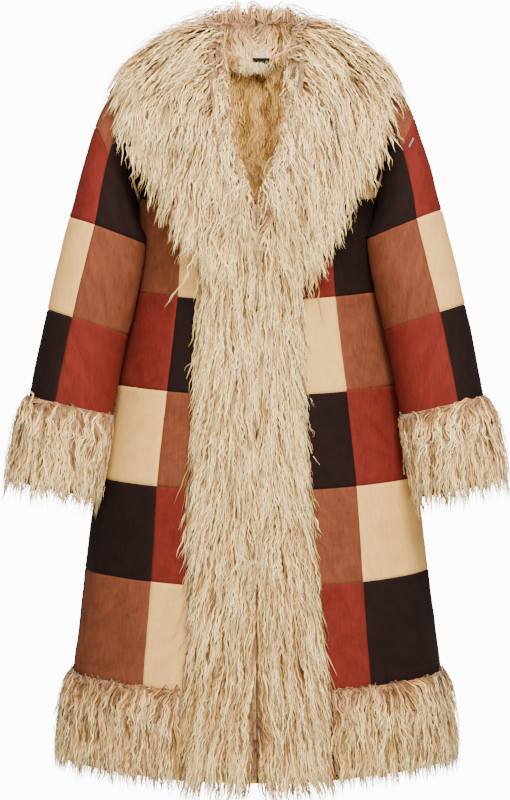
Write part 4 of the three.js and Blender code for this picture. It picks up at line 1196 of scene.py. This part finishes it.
def collar_flow(a, b, p, pa, pb, s):
    """At the back it stands up at the top and falls to both sides, into the neck and over the back; at the
    shoulders it goes out and down; the lapels hang, and their inner side comes over the roll."""
    front = ease((a - 0.38) / 0.3)
    outward = mix(0.85, 0.2, front) * np.clip((b - 0.3) / 0.15, 0, 1)
    stand = (1 - front) * np.clip((0.62 - b) / 0.14, 0, 1) * np.clip((b - 0.22) / 0.08, 0, 1)
    down = mix(mix(0.6, 1, front), 0, stand)
    inner = np.clip((0.42 - b) / 0.1, 0, 1) * np.clip((a - 0.3) / 0.1, 0, 1)
    outward = mix(outward, 1, stand * (1 - inner))
    outward = outward + inner * mix(0.6, -0.2, np.clip((a - 0.84) / 0.08, 0, 1))
    across_seam = np.clip((0.05 - a) / 0.05, 0, 1) * np.clip((b - 0.04) / 0.1, 0, 1)
    wander = 0.3 * noise(p, 75, 5) + 0.5 * noise(p, 26, 6) - 0.9 * across_seam
    outward = outward + 0.35 * noise(p, 34, 7)
    return DOWN * down[:, None] + outward[:, None] * unit(pb) + wander[:, None] * unit(pa)


def settle_on_bands(path):
    """Collar hair that passes the collar's lower edge lies on the bands below it."""
    x, z = np.abs(path[..., 0]), path[..., 2]
    edge = COLLAR_TIP[0] - (COLLAR_TIP[0] - COLLAR_TIP[2]) * x / COLLAR_TIP[1]
    below = np.clip((edge + 30 - z) / 50, 0, 1)
    reach = reach_at(path[..., 0], z)
    share = np.clip(x / reach, 0, 1)
    ground = body_point(1, angle_at(x, z), z)[..., 1]
    top = ground - LIE_GAP - BAND_PILE * np.interp(share, BAND_SHARES, BAND_HEIGHTS)
    y = mix(path[..., 1], np.clip(path[..., 1], top - 5, top + 6), below * (x < reach))
    return np.stack([path[..., 0], y, path[..., 2]], -1)


def lining_pile():
    """The inside of the upper back, as far as it shows through the neck."""
    b, a = np.meshgrid(np.linspace(-1, 1, 41), np.linspace(1, 0, 26))
    half = np.where(b < 0, -1, 1)
    across = 2 - np.abs(b)
    z = np.linspace(BREAK_Z, BREAK_Z - PATCH_HEIGHT, 12)[1:, None] + 0 * b[:11]
    upper = chest_point(half, "back", across, a)
    lower = body_point(half[:11], panel_angle("back", across[:11], z), z)
    points = np.concatenate([upper, lower])
    normals = grid_normals(points, from_the_middle(points))
    low = points - normals * (SHELL + LIE_GAP)
    edge = np.minimum(20 * (1.02 - np.abs(np.concatenate([b, b[:11]]))), 1)
    return Pile(low, low - normals * LINING_PILE * edge[..., None])


def thick_top(a, b):
    return np.where(a < 0.12, 2.2, 1.0)


def band_weight(a, b):
    edges = np.where(b > 0.9, 0.3, 1.0) * np.where((b < 0.1) & (a > 0.6), 0.8, 1.0)
    return edges * np.where(a > 0.9, 1.3, 1.0)


def collar_weight(a, b):
    """Thicker on the lapels, the roll, the lapels' inner side and at the centre back."""
    weight = (0.7 + 0.9 * np.clip((a - 0.35) / 0.2, 0, 1)) * np.where(b < 0.6, mix(2.6, 1.4, a), 1.0)
    for least_a, most_a, most_b, factor in COLLAR_THICKER:
        weight = weight * np.where((b < most_b) & (a > least_a) & (a < most_a), factor, 1.0)
    return weight


# least a, most a, most b, factor
COLLAR_THICKER = [
    (0.7, 1, 0.3, 2.1),
    (-1, 0.12, 0.5, 2.6),
    (-1, 0.05, 0.5, 1.8),
    (-1, 0.06, 0.1, 1.8),
]

# For each trim: locks in the under layer, shortest and longest hair, how far tips may reach (least a, range
# of the most a, least b, range of the most b), the undercoat's lower and upper height in the pile and its
# share of a and b, where hair grows thicker, heights of the tips, and what bends, lifts or shortens it.
PLAIN = {
    "weight": evenly, "high": (0.6, 0.98), "settle": lambda path: path, "side_roots": 0,
    "shorter": lambda a: 0 * a,
}
BAND_FUR = {
    **PLAIN, "locks": 1650, "length": (62, 96), "ends": (-0.05, (1.0, 1.05), -0.03, (0.88, 1.08)),
    "ground": (0, 0.4, 0.985, 0.93), "weight": band_weight, "flow": hang(part_and_fan),
}
HEM_FUR = {
    **PLAIN, "locks": 950, "length": (46, 76), "ends": (-0.1, (1.03, 1.18), -0.02, (1.0, 1.02)),
    "ground": (0, 0.36, 0.9, 1), "weight": thick_top, "high": (0.5, 0.86), "flow": hang(straight, 1.15, 1.2),
}
CUFF_FUR = {
    **PLAIN, "locks": 1150, "length": (46, 78), "ends": (-0.1, (1.03, 1.27), -9, (9, 9)),
    "ground": (0, 0.36, 0.9, 1), "weight": thick_top, "high": (0.5, 0.9), "flow": hang(straight, 1.15, 2.2),
}
COLLAR_FUR = {
    **PLAIN, "locks": 2420, "length": (52, 86), "ends": (-0.03, (1.03, 1.3), -0.14, (0.97, 1.07)),
    "ground": (0, 0.36, 0.985, 0.86), "weight": collar_weight, "flow": collar_flow, "settle": settle_on_bands,
    "side_roots": 0.16, "shorter": lambda a: 0.085 * np.exp(-(((a - 0.4) / 0.12) ** 2)),
}


def fur(name, pile, trim):
    """An under layer of plain strands, darkened as painted shade, curled locks over it, and the matted
    undercoat, also darkened as painted shade.
    """
    locks, high = trim["locks"], trim["high"]
    ribbons = [
        layer(pile, locks, UNDER_STEPS, 1, UNDER, (0.48, high[0] + 0.1), trim),
        layer(pile, locks // 2, CURL_STEPS, PER_LOCK, CURLS, high, trim),
    ]
    hair = hair_piece(f"{name}_hair", name, ribbons, fur_hair)
    undercoat(name, pile, trim["ground"], painted_shade_undercoat)


# Every piece of the coat

# The cut of a cloth's middle is measured only where the cloth is wider than this, in metres.
SMALLEST_SHEET = 0.01

for side, word in ((1, "left"), (-1, "right")):
    front = panel(f"front_{word}", side, "front")
    back = panel(f"back_{word}", side, "back")
    arm = sleeve(f"sleeve_{word}", side)
    fur(f"band_{word}", band(side), BAND_FUR)
    fur(f"hem_front_{word}", hem(side, "front"), HEM_FUR)
    fur(f"cuff_{word}", cuff(side), CUFF_FUR)
    fur(f"collar_{word}", collar(side, f"collar_{word}"), COLLAR_FUR)
fur("hem_back", hem(1, "back"), {**HEM_FUR, "locks": 700})

pile = lining_pile()
a, b = sample_roots(pile, LINING_STRANDS, evenly)
path, side_dir, out_dir, top = guides(
    pile, a, b, rng.uniform(10, 18, len(a)), rng.uniform(0.7, 1.05, len(a)), hang(straight), 3,
    (-0.02, 1.03, 0, 1), 0.55,
)
ground = path[:, 0]
patches = np.clip(0.66 + 1.5 * noise(ground * [1, 1, 0.5], 34, 14) + 0.5 * noise(ground, 11, 15), -0.1, 1)
short = strands(path, side_dir, out_dir, patches, 1, SHORT)
hair = hair_piece("lining_back_hair", "lining_back", [short], lining_hair)
undercoat("lining_back", pile, (0, 0.55), lining_cloth)


def node_points(name):
    """The CAD node's corners, in millimetres."""
    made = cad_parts[name]
    return np.array([made.matrix_world @ v.co for v in made.data.vertices]) * 1000


def small_cloth(name, outer, inner, materials, which):
    made = wall(f"{name}_cloth", outer, inner, materials, which, which, 0)
    put_in_place(made, [name])
    if min(cut(outer)) > SMALLEST_SHEET:
        cut((outer + inner) / 2)


# The label: a blank woven strip across the lining, its lower edge turned up and pale.
corner = node_points("neck_label")
low_corner, high_corner = corner.min(0), corner.max(0)
across, down = np.meshgrid(np.linspace(0, 1, 41), np.linspace(0, 1, 25))
label_x = mix(low_corner[0], high_corner[0], across)
label_z = mix(high_corner[2], low_corner[2], down) - 1.2 * np.sin(math.pi * across) * down
label_y = mix(low_corner[1], high_corner[1] - 1.2, down) - 0.8 * np.sin(math.pi * across) * (0.4 + down)
weave = 0.07 * np.sin(label_x * 5) * np.sin(label_z * 5)
face = stack(label_x, label_y + weave, label_z)
turned = (down[:-1, :-1] > 0.86).astype(int)
small_cloth(
    "neck_label", face, face + [0, 1.0, 0.5],
    [woven_material("label_black", (26, 24, 24)), woven_material("label_edge", (214, 206, 192))],
    turned,
)

# The hanging loop: two thin cords twisted together along the CAD's curve.
corner = node_points("hanger_loop")
curve_y, curve_z = np.polyfit(corner[:, 0], corner[:, 1], 2), np.polyfit(corner[:, 0], corner[:, 2], 4)
x = np.linspace(corner[:, 0].min() + 0.8, corner[:, 0].max() - 0.8, 90)
middle = stack(x, np.polyval(curve_y, x), np.polyval(curve_z, x))
along = unit(np.gradient(middle, axis=0))
normal = unit(np.cross(along, [0.0, 1.0, 0.0]))
binormal = np.cross(along, normal)
distance = np.concatenate([[0], np.cumsum(np.linalg.norm(np.diff(middle, axis=0), axis=1))])
points, quads = [], []
for ply in (0, math.pi):
    twist = distance[:, None] * 1.5 + ply
    centre = middle + 0.42 * (normal * np.cos(twist) + binormal * np.sin(twist))
    turn = np.linspace(0, 2 * math.pi, 9)[:-1]
    ring = centre[:, None] + 0.45 * (
        normal[:, None] * np.cos(turn)[None, :, None] + binormal[:, None] * np.sin(turn)[None, :, None]
    )
    start = sum(len(x) for x in points)
    quads.append(grid_quads(len(ring), 8, True, start))
    points.append(ring.reshape(-1, 3))
loop_cord = woven_material("loop_cord", (52, 38, 30))
loop = make_mesh("hanger_loop_cord", np.concatenate(points), np.concatenate(quads), [loop_cord])
put_in_place(loop, ["hanger_loop"])

# The tab on the left sleeve, left blank.
across, down = np.meshgrid(np.linspace(-1, 1, 33), np.linspace(-1, 1, 11))
ground = sleeve_point(1, TAB_ANGLE + TAB_HALF_ANGLE * across, TAB_RING + TAB_HALF_RING * down)
out = unit(ground - sleeve_centre(1, TAB_RING + TAB_HALF_RING * down))
stitches = 0.12 * np.sin(across * 40) * (np.abs(down) > 0.6)
lift = 1.5 + stitches + 0.5 * np.exp(-((np.abs(across) - 1) / 0.1) ** 2)
edge = ((np.abs(down[:-1, :-1] + 0.1) > 0.7) | (np.abs(across[:-1, :-1]) > 0.9)).astype(int)
small_cloth(
    "sleeve_tab", ground + out * lift[..., None], ground + out * 0.5,
    [woven_material("tab_grey", (74, 82, 86)), woven_material("tab_edge", (112, 118, 120))],
    edge,
)

# Light, floor and camera

LIT_POINT = (0, 0, -0.45)


def area_light(name, place, size, power, colour=(1, 1, 1)):
    data = bpy.data.lights.new(name, "AREA")
    data.shape, data.size, data.size_y = "RECTANGLE", size[0], size[1]
    data.energy, data.color = power, colour
    made = in_scene(name, data)
    made.location = place
    made.rotation_mode = "QUATERNION"
    made.rotation_quaternion = (Vector(LIT_POINT) - Vector(place)).to_track_quat("-Z", "Y")


area_light("front", (-0.4, -3.0, 1.2), (1.2, 1.2), 140)
area_light("key", (0.9, -2.2, 1.7), (1.0, 1.0), 200, (1, 0.985, 0.96))
area_light("top", (-0.4, -0.3, 2.0), (1.6, 1.6), 45)

# The world lights the coat softly, and is seen as a plain bright backdrop.
world = bpy.data.worlds.new("studio")
bpy.context.scene.world = world
world.use_nodes = True
sky = world.node_tree
soft, seen = sky.nodes["Background"], sky.nodes.new("ShaderNodeBackground")
for light, strength in ((soft, 0.36), (seen, 12)):
    light.inputs["Color"].default_value = (1, 1, 1, 1)
    light.inputs["Strength"].default_value = strength
rays = sky.nodes.new("ShaderNodeLightPath")
blend = sky.nodes.new("ShaderNodeMixShader")
sky.links.new(rays.outputs["Is Camera Ray"], blend.inputs["Fac"])
sky.links.new(soft.outputs["Background"], blend.inputs[1])
sky.links.new(seen.outputs["Background"], blend.inputs[2])
sky.links.new(blend.outputs["Shader"], sky.nodes["World Output"].inputs["Surface"])

# The floor lies below the picture, as the coat hangs free.
FLOOR_Z = -1.6
FLOOR_HALF = 3
floor_corners = [(x * FLOOR_HALF, y * FLOOR_HALF, FLOOR_Z) for x, y in ((-1, -1), (1, -1), (1, 1), (-1, 1))]
floor_mesh = bpy.data.meshes.new("floor")
floor_mesh.from_pydata(floor_corners, [], [(0, 1, 2, 3)])
floor = in_scene("floor", floor_mesh)
floor_mesh.materials.append(Shader("pale_floor").finish(Base_Color=(0.93, 0.93, 0.93, 1), Roughness=0.9))

camera_data = bpy.data.cameras.new("camera")
camera_data.sensor_width = 36
camera_data.lens = 18 / (VIEW_HEIGHT / 2 / CAMERA_FAR)
camera = in_scene("camera", camera_data)
camera.location = (CAMERA_X, -CAMERA_FAR, CAMERA_Z)
camera.rotation_euler = (math.pi / 2, 0, 0)
bpy.context.scene.camera = camera

bpy.context.view_layer.update()
